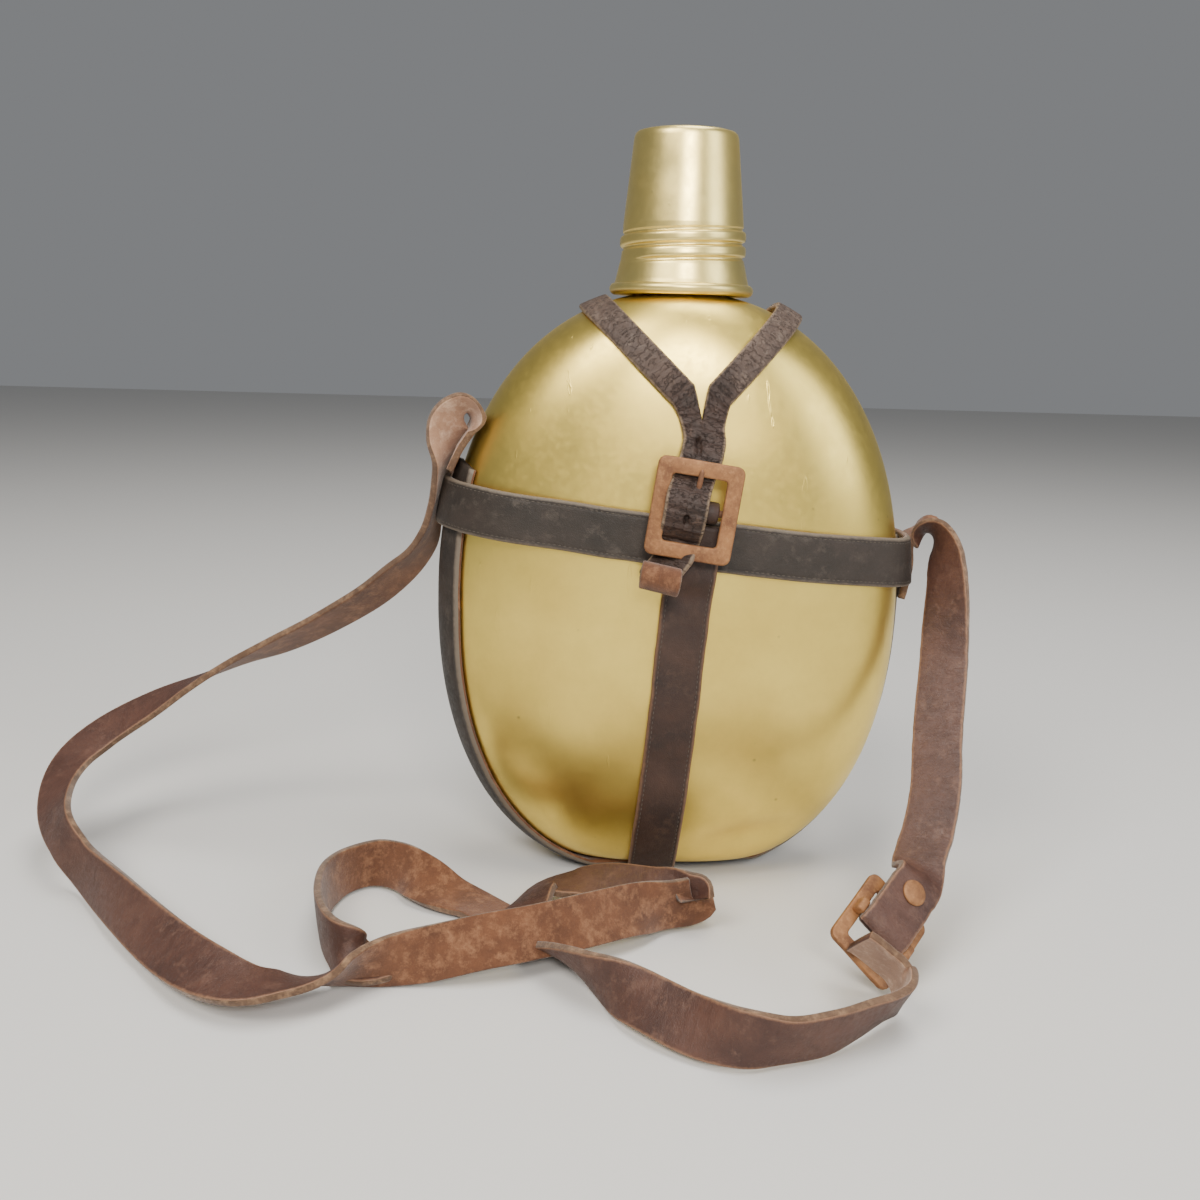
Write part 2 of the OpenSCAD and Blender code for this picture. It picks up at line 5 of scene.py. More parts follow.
import bmesh
import bpy
import numpy as np
from mathutils import Matrix, Vector


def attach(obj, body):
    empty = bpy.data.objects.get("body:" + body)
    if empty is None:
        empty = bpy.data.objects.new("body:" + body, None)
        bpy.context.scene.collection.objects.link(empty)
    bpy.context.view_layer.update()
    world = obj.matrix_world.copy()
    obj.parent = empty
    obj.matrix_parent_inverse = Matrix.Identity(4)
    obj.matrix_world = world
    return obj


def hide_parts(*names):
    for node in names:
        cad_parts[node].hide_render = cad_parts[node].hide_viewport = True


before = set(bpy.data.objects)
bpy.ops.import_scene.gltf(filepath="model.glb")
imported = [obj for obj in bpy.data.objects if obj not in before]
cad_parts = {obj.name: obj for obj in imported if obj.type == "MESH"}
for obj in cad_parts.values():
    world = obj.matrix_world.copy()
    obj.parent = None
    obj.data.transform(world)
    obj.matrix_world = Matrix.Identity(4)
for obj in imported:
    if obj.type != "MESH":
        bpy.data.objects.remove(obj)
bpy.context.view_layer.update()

MM = 0.001

# ---------------------------------------------------------------- camera
CAMERA_AT = (-22.5, -400.0, 173.7)
CAMERA_DOWN = 11.9  # degrees below level
CAMERA_ROLL = 1.5
FOCAL_PX = 1258.0
IMAGE_PX = 1200.0

camera_data = bpy.data.cameras.new("camera")
camera_data.sensor_width = 36.0
camera_data.lens = FOCAL_PX / IMAGE_PX * 36.0
camera_data.clip_start = 0.01
camera = bpy.data.objects.new("camera", camera_data)
bpy.context.scene.collection.objects.link(camera)
camera.matrix_world = (
    Matrix.Translation(Vector(CAMERA_AT) * MM)
    @ Matrix.Rotation(math.radians(90 - CAMERA_DOWN), 4, "X")
    @ Matrix.Rotation(math.radians(CAMERA_ROLL), 4, "Z")
)
bpy.context.scene.camera = camera

# ---------------------------------------------------------------- sizes, as in part.scad
FLASK_W, FLASK_D = 144.6, 66.0
BELLY_Z, SHOULDER_Z = 90.0, 187.4
NECK_R, NECK_TOP = 14.4, 208.0
FLASK_WALL = 1.1
CUP_TOP, CUP_END_R, CUP_RIM_R, CUP_WALL = 234.0, 15.4, 22.1, 0.9
STRAP_W, STRAP_T = 15.0, 2.0
BRANCH_W, TAIL_W = 8.6, 12.6
HARNESS_LEAN, BAND_Z = 6.0, 114.6
BUCKLE_W, BUCKLE_H, BUCKLE_RIM, BUCKLE_T = 25.2, 28.8, 4.6, 1.8
SLING_W, SLING_T = 15.0, 2.2
GAP = 0.4  # between the flask and the leather on it
LAYER = STRAP_T + 0.3  # lift of a strap that lies over another
UNDER = GAP + LAYER + STRAP_T  # height of the flask's underside
UNDER_EDGE_Z = np.array([0, 0.25, 0.6, 1.1, 1.8, 2.8, 4.2])  # levels of its rounded edge
UNDER_EDGE_IN = [5.5, 3.7, 2.4, 1.4, 0.7, 0.2, 0]


def unit(v):
    """The vector, or each row of vectors, made one long."""
    v = np.asarray(v, float)
    return v / np.linalg.norm(v, axis=-1, keepdims=True)


def rise(z):
    """Share of the way from the widest level up to the shoulder or down to the floor."""
    return np.where(z > BELLY_Z, (z - BELLY_Z) / (SHOULDER_Z - BELLY_Z), (BELLY_Z - z) / BELLY_Z)


def bulge(u, p, q):
    return np.maximum(0.0, 1 - np.minimum(1, np.abs(u)) ** p) ** (1 / q)


def half_w(z):
    """Half the width of the flask at height z."""
    q = np.where(z > BELLY_Z, 2.2, 2.6)
    return np.maximum(NECK_R, FLASK_W / 2 * bulge(rise(z), 2.2, q))


def half_d(z):
    """Half the depth of the flask at height z."""
    q = np.where(z > BELLY_Z, 5.5, 2.6)
    return np.maximum(NECK_R, FLASK_D / 2 * bulge(rise(z), 2.6, q))


def plan_power(z):
    """Power of the superellipse that is the flask's plan at height z."""
    return np.where(z > BELLY_Z, 2 + 0.5 * (1 - np.minimum(1, rise(z)) ** 4), 2.5)


def outside(p):
    """Above zero where a point lies outside the flask."""
    x, y, z = p[..., 0], p[..., 1], p[..., 2]
    n = plan_power(z)
    f = (np.abs(x) / half_w(z)) ** n + (np.abs(y) / half_d(z)) ** n - 1
    return np.where(z < UNDER, 1.0, f)


def leave(c, d):
    """Where the ray from c in direction d leaves the flask."""
    lo = np.zeros(np.broadcast_shapes(c.shape, d.shape)[:-1])
    hi = lo + 140.0
    for _ in range(22):
        mid = (lo + hi) / 2
        out = outside(c + d * mid[..., None]) > 0
        hi = np.where(out, mid, hi)
        lo = np.where(out, lo, mid)
    return c + d * lo[..., None]


def skin(c, e1, e2, a):
    """Points on the flask at angles a in the plane of e1 and e2 through c."""
    r = np.radians(a)[..., None]
    return leave(c, np.cos(r) * e1 + np.sin(r) * e2)


def skin_normal(c, e1, e2, a):
    step = 1.5
    along = skin(c, e1, e2, a + step) - skin(c, e1, e2, a - step)
    return unit(np.cross(along, np.cross(e1, e2)))


def full_near(a, at, flat, wide):
    """One within flat degrees of the angle at, zero beyond wide, and eased between."""
    d = np.abs((a - at + 540) % 360 - 180)
    ease = 0.5 + 0.5 * np.cos(np.pi * (d - flat) / (wide - flat))
    return np.where(d < flat, 1.0, np.where(d > wide, 0.0, ease))


def ramp(x, lo, hi):
    """Eases from zero at lo to one at hi."""
    ease = 0.5 - 0.5 * np.cos(np.pi * (x - lo) / (hi - lo))
    return np.where(x < lo, 0.0, np.where(x > hi, 1.0, ease))


# ---------------------------------------------------------------- mesh making
def grid_mesh(name, grid, closed, attrs=None, materials=(), face_material=None, body="flask"):
    """A closed solid from rings of points. grid is stations x ring points x 3, in mm."""
    m, n = grid.shape[:2]
    verts = (grid.reshape(-1, 3) * MM).tolist()
    faces, slots = [], []
    last = m if closed else m - 1
    for j in range(last):
        for i in range(n):
            a, b = j * n + i, j * n + (i + 1) % n
            k = (j + 1) % m
            faces.append((a, b, k * n + (i + 1) % n, k * n + i))
            slots.append(face_material(j, i) if face_material else 0)
    if not closed:
        for end, order in ((0, 1), (m - 1, -1)):
            faces.append(tuple(end * n + i for i in range(n))[::-order])
            slots.append(0)
    mesh = bpy.data.meshes.new(name)
    mesh.from_pydata(verts, [], faces)
    for material in materials:
        mesh.materials.append(material)
    mesh.polygons.foreach_set("material_index", slots)
    mesh.polygons.foreach_set("use_smooth", [True] * len(faces))
    for key, values in (attrs or {}).items():
        layer = mesh.attributes.new(key, "FLOAT", "POINT")
        layer.data.foreach_set("value", np.asarray(values, float).ravel().tolist())
    obj = bpy.data.objects.new(name, mesh)
    bpy.context.scene.collection.objects.link(obj)
    turn_outwards(obj)
    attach(obj, body)
    return obj


def turn_outwards(obj):
    """Makes every face of a closed mesh look outwards."""
    bm = bmesh.new()
    bm.from_mesh(obj.data)
    bmesh.ops.recalc_face_normals(bm, faces=bm.faces)
    if bm.calc_volume(signed=True) < 0:
        bmesh.ops.reverse_faces(bm, faces=bm.faces)
    bm.to_mesh(obj.data)
    bm.free()


def lathe(name, profile, sides, materials, body, bump=None):
    """Turns a closed profile of (radius, z) about the Z axis."""
    profile = np.asarray(profile, float)
    angle = np.arange(sides) * 2 * np.pi / sides
    r = np.repeat(profile[None, :, 0], sides, 0)
    z = np.repeat(profile[None, :, 1], sides, 0)
    if bump is not None:
        r, z = bump(angle[:, None], r, z)
    grid = np.stack([r * np.cos(angle)[:, None], r * np.sin(angle)[:, None], z], -1)
    return grid_mesh(name, grid, True, materials=materials, body=body)


def smooth_noise(n, scale, seed, closed=False):
    """A soft random line of n values between about -1 and 1."""
    local = np.random.default_rng(seed)
    t = np.linspace(0, 1, n, endpoint=not closed)
    total = np.zeros(n)
    for k in range(1, 6):
        turns = scale * k
        if closed:
            turns = max(1, round(turns))
        total += local.normal() / k * np.sin(2 * np.pi * (turns * t + local.random()))
    return total / 2


# ---------------------------------------------------------------- materials
PORE_SCALE = 1400.0


def node_material(name):
    m = bpy.data.materials.new(name)
    m.use_nodes = True
    tree = m.node_tree
    shader = tree.nodes["Principled BSDF"]
    return m, tree, shader


class Graph:
    """Short ways to add and join shader nodes."""

    def __init__(self, tree):
        self.tree = tree

    def add(self, kind):
        return self.tree.nodes.new(kind)

    def link(self, a, b):
        self.tree.links.new(a, b)

    def coords(self, scale=(1, 1, 1)):
        c = self.add("ShaderNodeTexCoord")
        m = self.add("ShaderNodeMapping")
        m.inputs["Scale"].default_value = scale
        self.link(c.outputs["Object"], m.inputs["Vector"])
        return m.outputs["Vector"]

    def noise(self, vector, scale, detail=4.0, roughness=0.6):
        n = self.add("ShaderNodeTexNoise")
        n.inputs["Scale"].default_value = scale
        n.inputs["Detail"].default_value = detail
        n.inputs["Roughness"].default_value = roughness
        self.link(vector, n.inputs["Vector"])
        return n.outputs["Fac"]

    def voronoi(self, vector, scale, feature="F1"):
        n = self.add("ShaderNodeTexVoronoi")
        n.feature = feature
        n.inputs["Scale"].default_value = scale
        n.inputs["Randomness"].default_value = 1.0
        self.link(vector, n.inputs["Vector"])
        return n.outputs["Distance"]

    def attribute(self, name):
        n = self.add("ShaderNodeAttribute")
        n.attribute_name = name
        return n.outputs["Fac"]

    def ramp(self, value, stops):
        n = self.add("ShaderNodeValToRGB")
        ramp_data = n.color_ramp
        while len(ramp_data.elements) < len(stops):
            ramp_data.elements.new(0.5)
        for element, (position, color) in zip(ramp_data.elements, stops):
            element.position = position
            if isinstance(color, (int, float)):
                color = (color, color, color)
            element.color = (*color, 1)
        self.link(value, n.inputs["Fac"])
        return n.outputs["Color"]

    def mix(self, factor, a, b, blend="MIX"):
        n = self.add("ShaderNodeMix")
        n.data_type = "RGBA"
        n.blend_type = blend
        for socket, value in ((n.inputs[0], factor), (n.inputs[6], a), (n.inputs[7], b)):
            if isinstance(value, (int, float)):
                socket.default_value = value
            elif isinstance(value, tuple):
                socket.default_value = (*value, 1)
            else:
                self.link(value, socket)
        return n.outputs[2]

    def math(self, operation, a, b=0.0):
        n = self.add("ShaderNodeMath")
        n.operation = operation
        for socket, value in zip(n.inputs, (a, b)):
            if isinstance(value, (int, float)):
                socket.default_value = value
            else:
                self.link(value, socket)
        return n.outputs[0]

    def bump(self, height, distance, strength=1.0, normal=None):
        n = self.add("ShaderNodeBump")
        n.inputs["Distance"].default_value = distance
        n.inputs["Strength"].default_value = strength
        self.link(height, n.inputs["Height"])
        if normal is not None:
            self.link(normal, n.inputs["Normal"])
        return n.outputs["Normal"]


def flask_metal(name, base, dull, brushed):
    """Brushed brass-toned metal with duller clouds, small spots and fine scratches."""
    m, tree, shader = node_material(name)
    g = Graph(tree)
    here = g.coords()
    cloud = g.noise(here, 38, 5, 0.65)
    fine = g.noise(here, 420, 4, 0.7)
    spots = g.voronoi(here, 190)
    patch = g.noise(here, 90, 3, 0.6)
    spot_mask = g.math(
        "MULTIPLY",
        g.ramp(spots, [(0.0, 1.0), (0.14, 0.0)]),
        g.ramp(patch, [(0.60, 0.0), (0.68, 1.0)]),
    )
    color = g.mix(g.ramp(cloud, [(0.35, 0.0), (0.72, 1.0)]), base, dull)
    color = g.mix(g.math("MULTIPLY", spot_mask, 0.75), color, (0.16, 0.10, 0.045))
    g.link(color, shader.inputs["Base Color"])
    shader.inputs["Metallic"].default_value = 1.0
    rough = g.ramp(cloud, [(0.3, 0.30), (0.75, 0.42)])
    grit = g.math("MULTIPLY", g.ramp(fine, [(0.45, 0.0), (0.75, 1.0)]), 0.3)
    rough = g.mix(grit, rough, (0.55, 0.55, 0.55))
    g.link(rough, shader.inputs["Roughness"])
    drawn = g.noise(g.coords(brushed), 60, 3, 0.55)
    scratch_field = g.noise(g.coords((1, 1, 0.12)), 260, 2, 0.5)
    scratches = g.ramp(scratch_field, [(0.695, 0.0), (0.71, 1.0), (0.725, 0.0)])
    normal = g.bump(drawn, 0.00012, 0.35)
    normal = g.bump(scratches, 0.00008, 0.5, normal)
    normal = g.bump(spot_mask, 0.00015, 0.4, normal)
    g.link(normal, shader.inputs["Normal"])
    return m


def leather(name, base, worn, dark, edge, rough=0.55, wrinkles=0.0, edge_at=0.86, second=None):
    """Leather with worn edges, driven by the across and along attributes of the strap.

    The tones in second take over where the attribute of that name is one.
    """
    m, tree, shader = node_material(name)
    g = Graph(tree)
    here = g.coords()
    cloud = g.noise(here, 60, 5, 0.65)
    fine = g.noise(here, 620, 5, 0.7)
    signed = g.attribute("across")
    across = g.math("ABSOLUTE", signed)
    wobble = g.math("MULTIPLY", g.math("SUBTRACT", fine, 0.5), 0.16)
    edge_full = min(0.995, edge_at + 0.1)
    edge_mask = g.ramp(g.math("ADD", across, wobble), [(edge_at, 0.0), (edge_full, 1.0)])
    if second:
        share = g.attribute("second")
        base, worn, dark = (g.mix(share, p, q) for p, q in zip((base, worn, dark), second))
    color = g.mix(g.ramp(cloud, [(0.3, 0.0), (0.7, 1.0)]), base, dark)
    scuffs = g.math(
        "MULTIPLY",
        g.ramp(g.noise(here, 210, 6, 0.75), [(0.52, 0.0), (0.68, 1.0)]),
        g.ramp(cloud, [(0.35, 0.25), (0.7, 1.0)]),
    )
    color = g.mix(g.math("MULTIPLY", scuffs, 0.5), color, worn)
    color = g.mix(g.math("MULTIPLY", edge_mask, 0.75), color, edge)
    cell = g.voronoi(here, PORE_SCALE, "DISTANCE_TO_EDGE")
    pores = g.ramp(cell, [(0.0, 0.0), (0.18, 1.0)])
    normal = g.bump(pores, 0.00006, 0.45)
    normal = g.bump(fine, 0.00025, 0.45, normal)
    if wrinkles:
        place = g.add("ShaderNodeCombineXYZ")
        g.link(g.math("MULTIPLY", signed, 1.3), place.inputs["X"])
        g.link(g.math("MULTIPLY", g.attribute("along"), 0.42), place.inputs["Y"])
        field = g.noise(place.outputs["Vector"], 1.0, 5, 0.62)
        line = g.math("ABSOLUTE", g.math("SUBTRACT", field, 0.5))
        crack = g.ramp(line, [(0.0, 0.0), (0.022, 1.0)])
        swell = g.ramp(field, [(0.3, 0.0), (0.7, 1.0)])
        normal = g.bump(swell, 0.0008, 0.6 * wrinkles, normal)
        normal = g.bump(crack, 0.0003, wrinkles, normal)
        in_crack = g.math("SUBTRACT", 1.0, crack)
        color = g.mix(g.math("MULTIPLY", in_crack, 0.8 * wrinkles), color, dark)
    g.link(color, shader.inputs["Base Color"])
    g.link(g.ramp(fine, [(0.3, rough - 0.1), (0.7, rough + 0.14)]), shader.inputs["Roughness"])
    g.link(normal, shader.inputs["Normal"])
    shader.inputs["Specular IOR Level"].default_value = 0.4
    return m


def suede(name, base, worn, dark):
    """The rough flesh side of leather."""
    m, tree, shader = node_material(name)
    g = Graph(tree)
    here = g.coords()
    cloud = g.noise(here, 70, 6, 0.7)
    nap = g.noise(here, 1500, 4, 0.8)
    blotch = g.noise(here, 240, 6, 0.75)
    color = g.mix(g.ramp(cloud, [(0.32, 0.0), (0.68, 1.0)]), base, dark)
    rubbed = g.ramp(blotch, [(0.48, 0.0), (0.66, 1.0)])
    color = g.mix(g.math("MULTIPLY", rubbed, 0.75), color, worn)
    deep = g.ramp(nap, [(0.3, 1.0), (0.6, 0.0)])
    color = g.mix(g.math("MULTIPLY", deep, 0.35), color, dark)
    g.link(color, shader.inputs["Base Color"])
    shader.inputs["Roughness"].default_value = 0.88
    shader.inputs["Specular IOR Level"].default_value = 0.2
    shader.inputs["Sheen Weight"].default_value = 0.25
    normal = g.bump(nap, 0.0003, 0.55)
    normal = g.bump(blotch, 0.0004, 0.35, normal)
    g.link(normal, shader.inputs["Normal"])
    return m


def rusty(name, base, dark, pale):
    """Rusted steel."""
    m, tree, shader = node_material(name)
    g = Graph(tree)
    here = g.coords()
    cloud = g.noise(here, 130, 6, 0.7)
    fine = g.noise(here, 900, 5, 0.75)
    color = g.mix(g.ramp(cloud, [(0.34, 0.0), (0.66, 1.0)]), base, dark)
    color = g.mix(g.math("MULTIPLY", g.ramp(fine, [(0.5, 0.0), (0.7, 1.0)]), 0.5), color, pale)
    g.link(color, shader.inputs["Base Color"])
    shader.inputs["Metallic"].default_value = 0.35
    g.link(g.ramp(cloud, [(0.3, 0.5), (0.7, 0.72)]), shader.inputs["Roughness"])
    normal = g.bump(fine, 0.00012, 0.4)
    g.link(normal, shader.inputs["Normal"])
    return m


def plain(name, color, rough, scale=800, depth=0.0001):
    """One tone with a fine grain."""
    m, tree, shader = node_material(name)
    g = Graph(tree)
    here = g.coords()
    fine = g.noise(here, scale, 5, 0.7)
    tone = g.mix(g.ramp(fine, [(0.3, 0.0), (0.7, 1.0)]), color, tuple(c * 0.7 for c in color))
    g.link(tone, shader.inputs["Base Color"])
    shader.inputs["Metallic"].default_value = 0.0
    shader.inputs["Roughness"].default_value = rough
    g.link(g.bump(fine, depth, 0.5), shader.inputs["Normal"])
    return m


GOLD = flask_metal("gold_flask", (0.87, 0.66, 0.165), (0.74, 0.55, 0.13), (1, 1, 0.15))
GOLD_CUP = flask_metal("gold_cup", (0.93, 0.75, 0.27), (0.82, 0.63, 0.20), (0.12, 0.12, 1))
DARK = leather(
    "dark_leather",
    (0.034, 0.024, 0.018), (0.11, 0.088, 0.070), (0.015, 0.011, 0.008), (0.17, 0.135, 0.10),
)
BROWN = leather(
    "brown_leather",
    (0.045, 0.021, 0.013), (0.10, 0.055, 0.036), (0.018, 0.010, 0.008), (0.17, 0.09, 0.05),
)
YOKE = leather(
    "yoke_leather",
    (0.105, 0.068, 0.050), (0.26, 0.20, 0.155), (0.045, 0.028, 0.021), (0.24, 0.17, 0.11),
    wrinkles=0.8, edge_at=0.84,
    second=((0.050, 0.025, 0.017), (0.15, 0.085, 0.055), (0.016, 0.009, 0.006)),
)
GRAIN = leather(
    "sling_grain",
    (0.095, 0.042, 0.028), (0.20, 0.11, 0.075), (0.042, 0.018, 0.013), (0.27, 0.14, 0.075),
    rough=0.5, wrinkles=0.3, edge_at=0.88,
)
SUEDE = suede("sling_suede", (0.165, 0.066, 0.030), (0.28, 0.135, 0.068), (0.075, 0.030, 0.015))
SUEDE_PALE = suede("loop_suede", (0.44, 0.26, 0.165), (0.60, 0.42, 0.30), (0.24, 0.13, 0.08))
EDGE_CUT = suede("cut_edge", (0.15, 0.085, 0.05), (0.30, 0.18, 0.10), (0.07, 0.038, 0.022))
RUST = rusty("rusted_buckle", (0.33, 0.15, 0.055), (0.15, 0.062, 0.027), (0.44, 0.23, 0.095))
RUST_DARK = rusty("rusted_bar", (0.22, 0.10, 0.05), (0.11, 0.05, 0.027), (0.34, 0.19, 0.10))
CORK = plain("cork", (0.50, 0.33, 0.18), 0.85, scale=500, depth=0.0006)
THREAD = plain("linen_thread", (0.085, 0.068, 0.052), 0.8, scale=3000)
SEAL = plain("seal_leather", (0.05, 0.035, 0.025), 0.7)

# ---------------------------------------------------------------- buckle places and sling
SLING_BUCKLE_AT = np.array([56.4, -80, 15.4])
SLING_BUCKLE_TURN = (-54, 44, -14)
SLING_BUCKLE_SIZE = 0.87
FRONT_BUCKLE_AT = np.array([3.95, -41.4, 125.0])
FRONT_BUCKLE_TILT, FRONT_BUCKLE_LEAN = -2, 8


def rotation(ax, ay, az):
    return (
        Matrix.Rotation(math.radians(az), 3, "Z")
        @ Matrix.Rotation(math.radians(ay), 3, "Y")
        @ Matrix.Rotation(math.radians(ax), 3, "X")
    )


SLING_TURN = np.array(rotation(*SLING_BUCKLE_TURN)) @ np.diag([1.0, -1.0, -1.0])
FRONT_TURN = np.array(
    Matrix.Rotation(math.radians(FRONT_BUCKLE_TILT), 3, "X")
    @ Matrix.Rotation(math.radians(FRONT_BUCKLE_LEAN), 3, "Y")
)


def from_sling_buckle(p):
    """A point given from the sling buckle's centre; its front looks along -Y."""
    return SLING_BUCKLE_AT + np.asarray(p, float) @ SLING_TURN.T


def from_front_buckle(p):
    """A point given from the front buckle's centre; its front looks along -Y."""
    return FRONT_BUCKLE_AT + np.asarray(p, float) @ FRONT_TURN.T


# Each row is a point on the strap's middle line and the direction across the strap there.
LONG_ROUTE = [
    ((-70, -8, 132), (-0.1, 1, 0)), ((-67, -8, 139), (-0.1, 1, 0.1)),
    ((-63, -8.5, 145.5), (-0.1, 1, 0.2)), ((-63.5, -10.5, 150), (-0.6, 0.7, 0.2)),
    ((-66.5, -12.5, 150), (0.1, 0.7, -0.7)), ((-69.5, -13, 147), (0.7, 0.6, -0.4)),
    ((-71, -12, 142.5), (0.7, 0.7, 0.1)), ((-71.5, -10, 136.5), (0.4, 0.9, 0.4)),
    ((-73.5, -6, 129.5), (0.2, 0.9, 0.4)), ((-75.5, -2, 121), (0.2, 0.9, 0.4)),
    ((-78, 2, 112.5), (0.3, 0.9, 0.3)), ((-81.5, 5, 104), (0.5, 0.9, 0)),
    ((-88.5, 8, 96), (0.5, 0.8, -0.3)), ((-99.5, 11, 86.5), (0.5, 0.8, -0.4)),
    ((-115, 14, 76.5), (0.4, 0.8, -0.4)), ((-131, 16, 68), (0.3, 0.9, -0.4)),
    ((-145.5, 17, 61.5), (0.2, 1, -0.2)), ((-160.5, 18, 53.5), (0, 1, 0)),
    ((-177, 17, 44.5), (-0.3, 0.9, 0.3)), ((-192, 13, 35.5), (-0.6, 0.7, 0.3)),
    ((-199.5, 3, 28.5), (-0.9, 0.3, -0.1)), ((-198.5, -12, 22), (-0.8, 0, -0.6)),
    ((-189.5, -31, 17.5), (-0.5, 0.1, -0.9)), ((-178.5, -40, 9.5), (-0.3, 0, -1)),
    ((-158, -64, 9), (-0.4, -0.3, -0.9)), ((-140, -83, 8), (-0.5, -0.5, -0.7)),
    ((-125.5, -97, 8.5), (-0.5, -0.7, -0.5)), ((-113, -104, 8), (-0.3, -0.9, -0.2)),
    ((-102.5, -103.5, 8), (0.3, -1, 0.1)), ((-93.5, -99, 7), (0.5, -0.8, 0.5)),
    ((-86.5, -94, 7.5), (0.2, -0.5, 0.8)), ((-77, -90, 8), (0, -0.1, 1)),
    ((-66, -87, 9), (-0.2, 0.2, 1)), ((-52.5, -84, 11), (-0.2, 0.4, 0.9)),
    ((-39.5, -80, 12), (-0.2, 0.4, 0.9)), ((-26, -72.5, 12), (-0.2, 0.4, 0.9)),
    ((-11.5, -62, 11), (-0.2, 0.4, 0.9)), ((-1.5, -55, 9.5), (0, 0, 1)),
    ((6.5, -52, 9.5), (0, 0, 1)), ((8, -51.5, 10.5), (0, 0, 1)), ((5.5, -51, 11), (0, 0, 1)),
    ((-4, -49, 11.5), (0.2, 0.7, 0.6)), ((-16.5, -43.5, 11), (0.2, 0.9, 0.4)),
    ((-28, -42, 10), (0.1, 1, 0.1)), ((-38, -41.5, 7.5), (-0.2, 0.9, -0.3)),
    ((-46, -62, 5), (-0.6, 0.8, 0)), ((-59, -72, 5), (-0.6, 0.8, 0)),
    ((-72, -80, 4.5), (-0.4, 0.9, 0)), ((-83, -85.5, 5), (-0.2, 0.9, 0.3)),
    ((-90, -84.5, 7.5), (-0.3, 0.5, 0.8)), ((-96.5, -76.5, 8.5), (-0.1, 0.1, 1)),
    ((-101.5, -62, 8.5), (-0.1, 0, 1)), ((-103, -46.5, 8.5), (-0.1, 0.1, 1)),
    ((-99.5, -34.5, 8.5), (0, 0, 1)), ((-92, -28, 8.5), (0.1, 0, 1)),
    ((-83, -30.5, 8.5), (0.1, 0.2, 1)), ((-75, -36, 7), (0.4, 0.6, 0.7)),
    ((-67, -39.5, 4), (0.6, 0.7, 0.2)), ((-58.5, -43, 2), (0.7, 0.7, 0)),
    ((-50, -51, 1.5), (0.7, 0.7, 0)), ((-42, -59, 2), (0.6, 0.8, 0)),
    ((-33.5, -76, 5), (0.3, 0.9, -0.4)), ((-22.5, -94.5, 8), (0.1, 0.4, -0.9)),
    ((-9.5, -107, 8.5), (-0.4, -0.4, -0.9)), ((2.5, -117.5, 8), (-0.3, -0.4, -0.8)),
    ((14, -125.5, 9), (0, -0.1, -1)), ((25, -125.5, 8.5), (-0.1, 0.3, -1)),
    ((36.5, -121.5, 8.5), (-0.1, 0.3, -0.9)), ((46, -115.5, 9), (-0.2, 0.4, -0.9)),
    ((53, -110.5, 9.5), (0.1, 0.7, -0.7)), ((57.5, -106, 10), (0, 0.7, -0.7)),
    ((59, -101, 11), (-0.1, 0.7, -0.7)), ((57.5, -98, 13.5), (-0.1, 0.7, -0.7)),
    ((54, -96.5, 16), (-0.1, 0.7, -0.7)), ((50.5, -95.5, 18.5), (-0.1, 0.7, -0.7)),
    ((48, -95, 20), (-0.1, 0.7, -0.7)),
]
SHORT_ROUTE = [
    ((76, 9, 92), (0, 1, 0)), ((77.8, 9, 102), (0, 1, 0)), ((77.6, 8.5, 110), (0, 1, 0)),
    ((80.5, 8, 112), (0, 1, 0.1)), ((83, 5, 114.5), (0, 1, 0)), ((85.5, 1, 113), (-0.2, 1, 0)),
    ((87, -4, 107.5), (-0.4, 0.9, 0)), ((87, -9, 99), (-0.6, 0.7, -0.3)),
    ((86.5, -13, 88.5), (-0.8, 0.6, -0.2)), ((85.5, -18, 77), (-0.9, 0.5, -0.1)),
    ((83.5, -25, 66), (-0.9, 0.4, -0.1)), ((81.5, -33, 54), (-0.9, 0.4, -0.1)),
    ((79.5, -42, 43.5), (-0.9, 0.4, -0.1)), ((76, -51, 34), (-0.9, 0.4, 0)),
    ((71, -61, 27.5), (-0.9, 0.4, 0)),
]
buckle_across = SLING_TURN @ np.array([-1.0, 0, 0])
long_points = np.array([p for p, _ in LONG_ROUTE], float)
long_across = np.array([v for _, v in LONG_ROUTE], float)
short_tail = [
    (0, 4.6, -19), (0, 4.6, -13), (0, 4.6, -7.4), (0, 4.6, -3.4),
    (0, 4.5, -0.4), (0, 3.9, 1.8), (0, 2.7, 3.3),
]
short_points = np.array([p for p, _ in SHORT_ROUTE] + [from_sling_buckle(p) for p in short_tail])
short_across = np.array([v for _, v in SHORT_ROUTE] + [buckle_across] * len(short_tail), float)


def spline(rows, steps):
    """A smooth line through every row, with this many steps from row to row."""
    out = []
    n = len(rows)
    for k in range(n - 1):
        a, b, c, d = (rows[min(max(i, 0), n - 1)] for i in (k - 1, k, k + 1, k + 2))
        square, cube = 2 * a - 5 * b + 4 * c - d, 3 * b - a - 3 * c + d
        for s in range(steps):
            u = s / steps
            out.append(0.5 * (2 * b + (c - a) * u + square * u * u + cube * u**3))
    out.append(rows[-1])
    return np.array(out)


def strip_frame(points, across):
    """Tangent, width and thickness directions along a strip."""
    ahead = np.roll(points, -1, 0)
    behind = np.roll(points, 1, 0)
    ahead[-1], behind[0] = points[-1], points[0]
    d = unit(ahead - behind)
    n = unit(np.cross(across, d))
    return d, np.cross(d, n), n


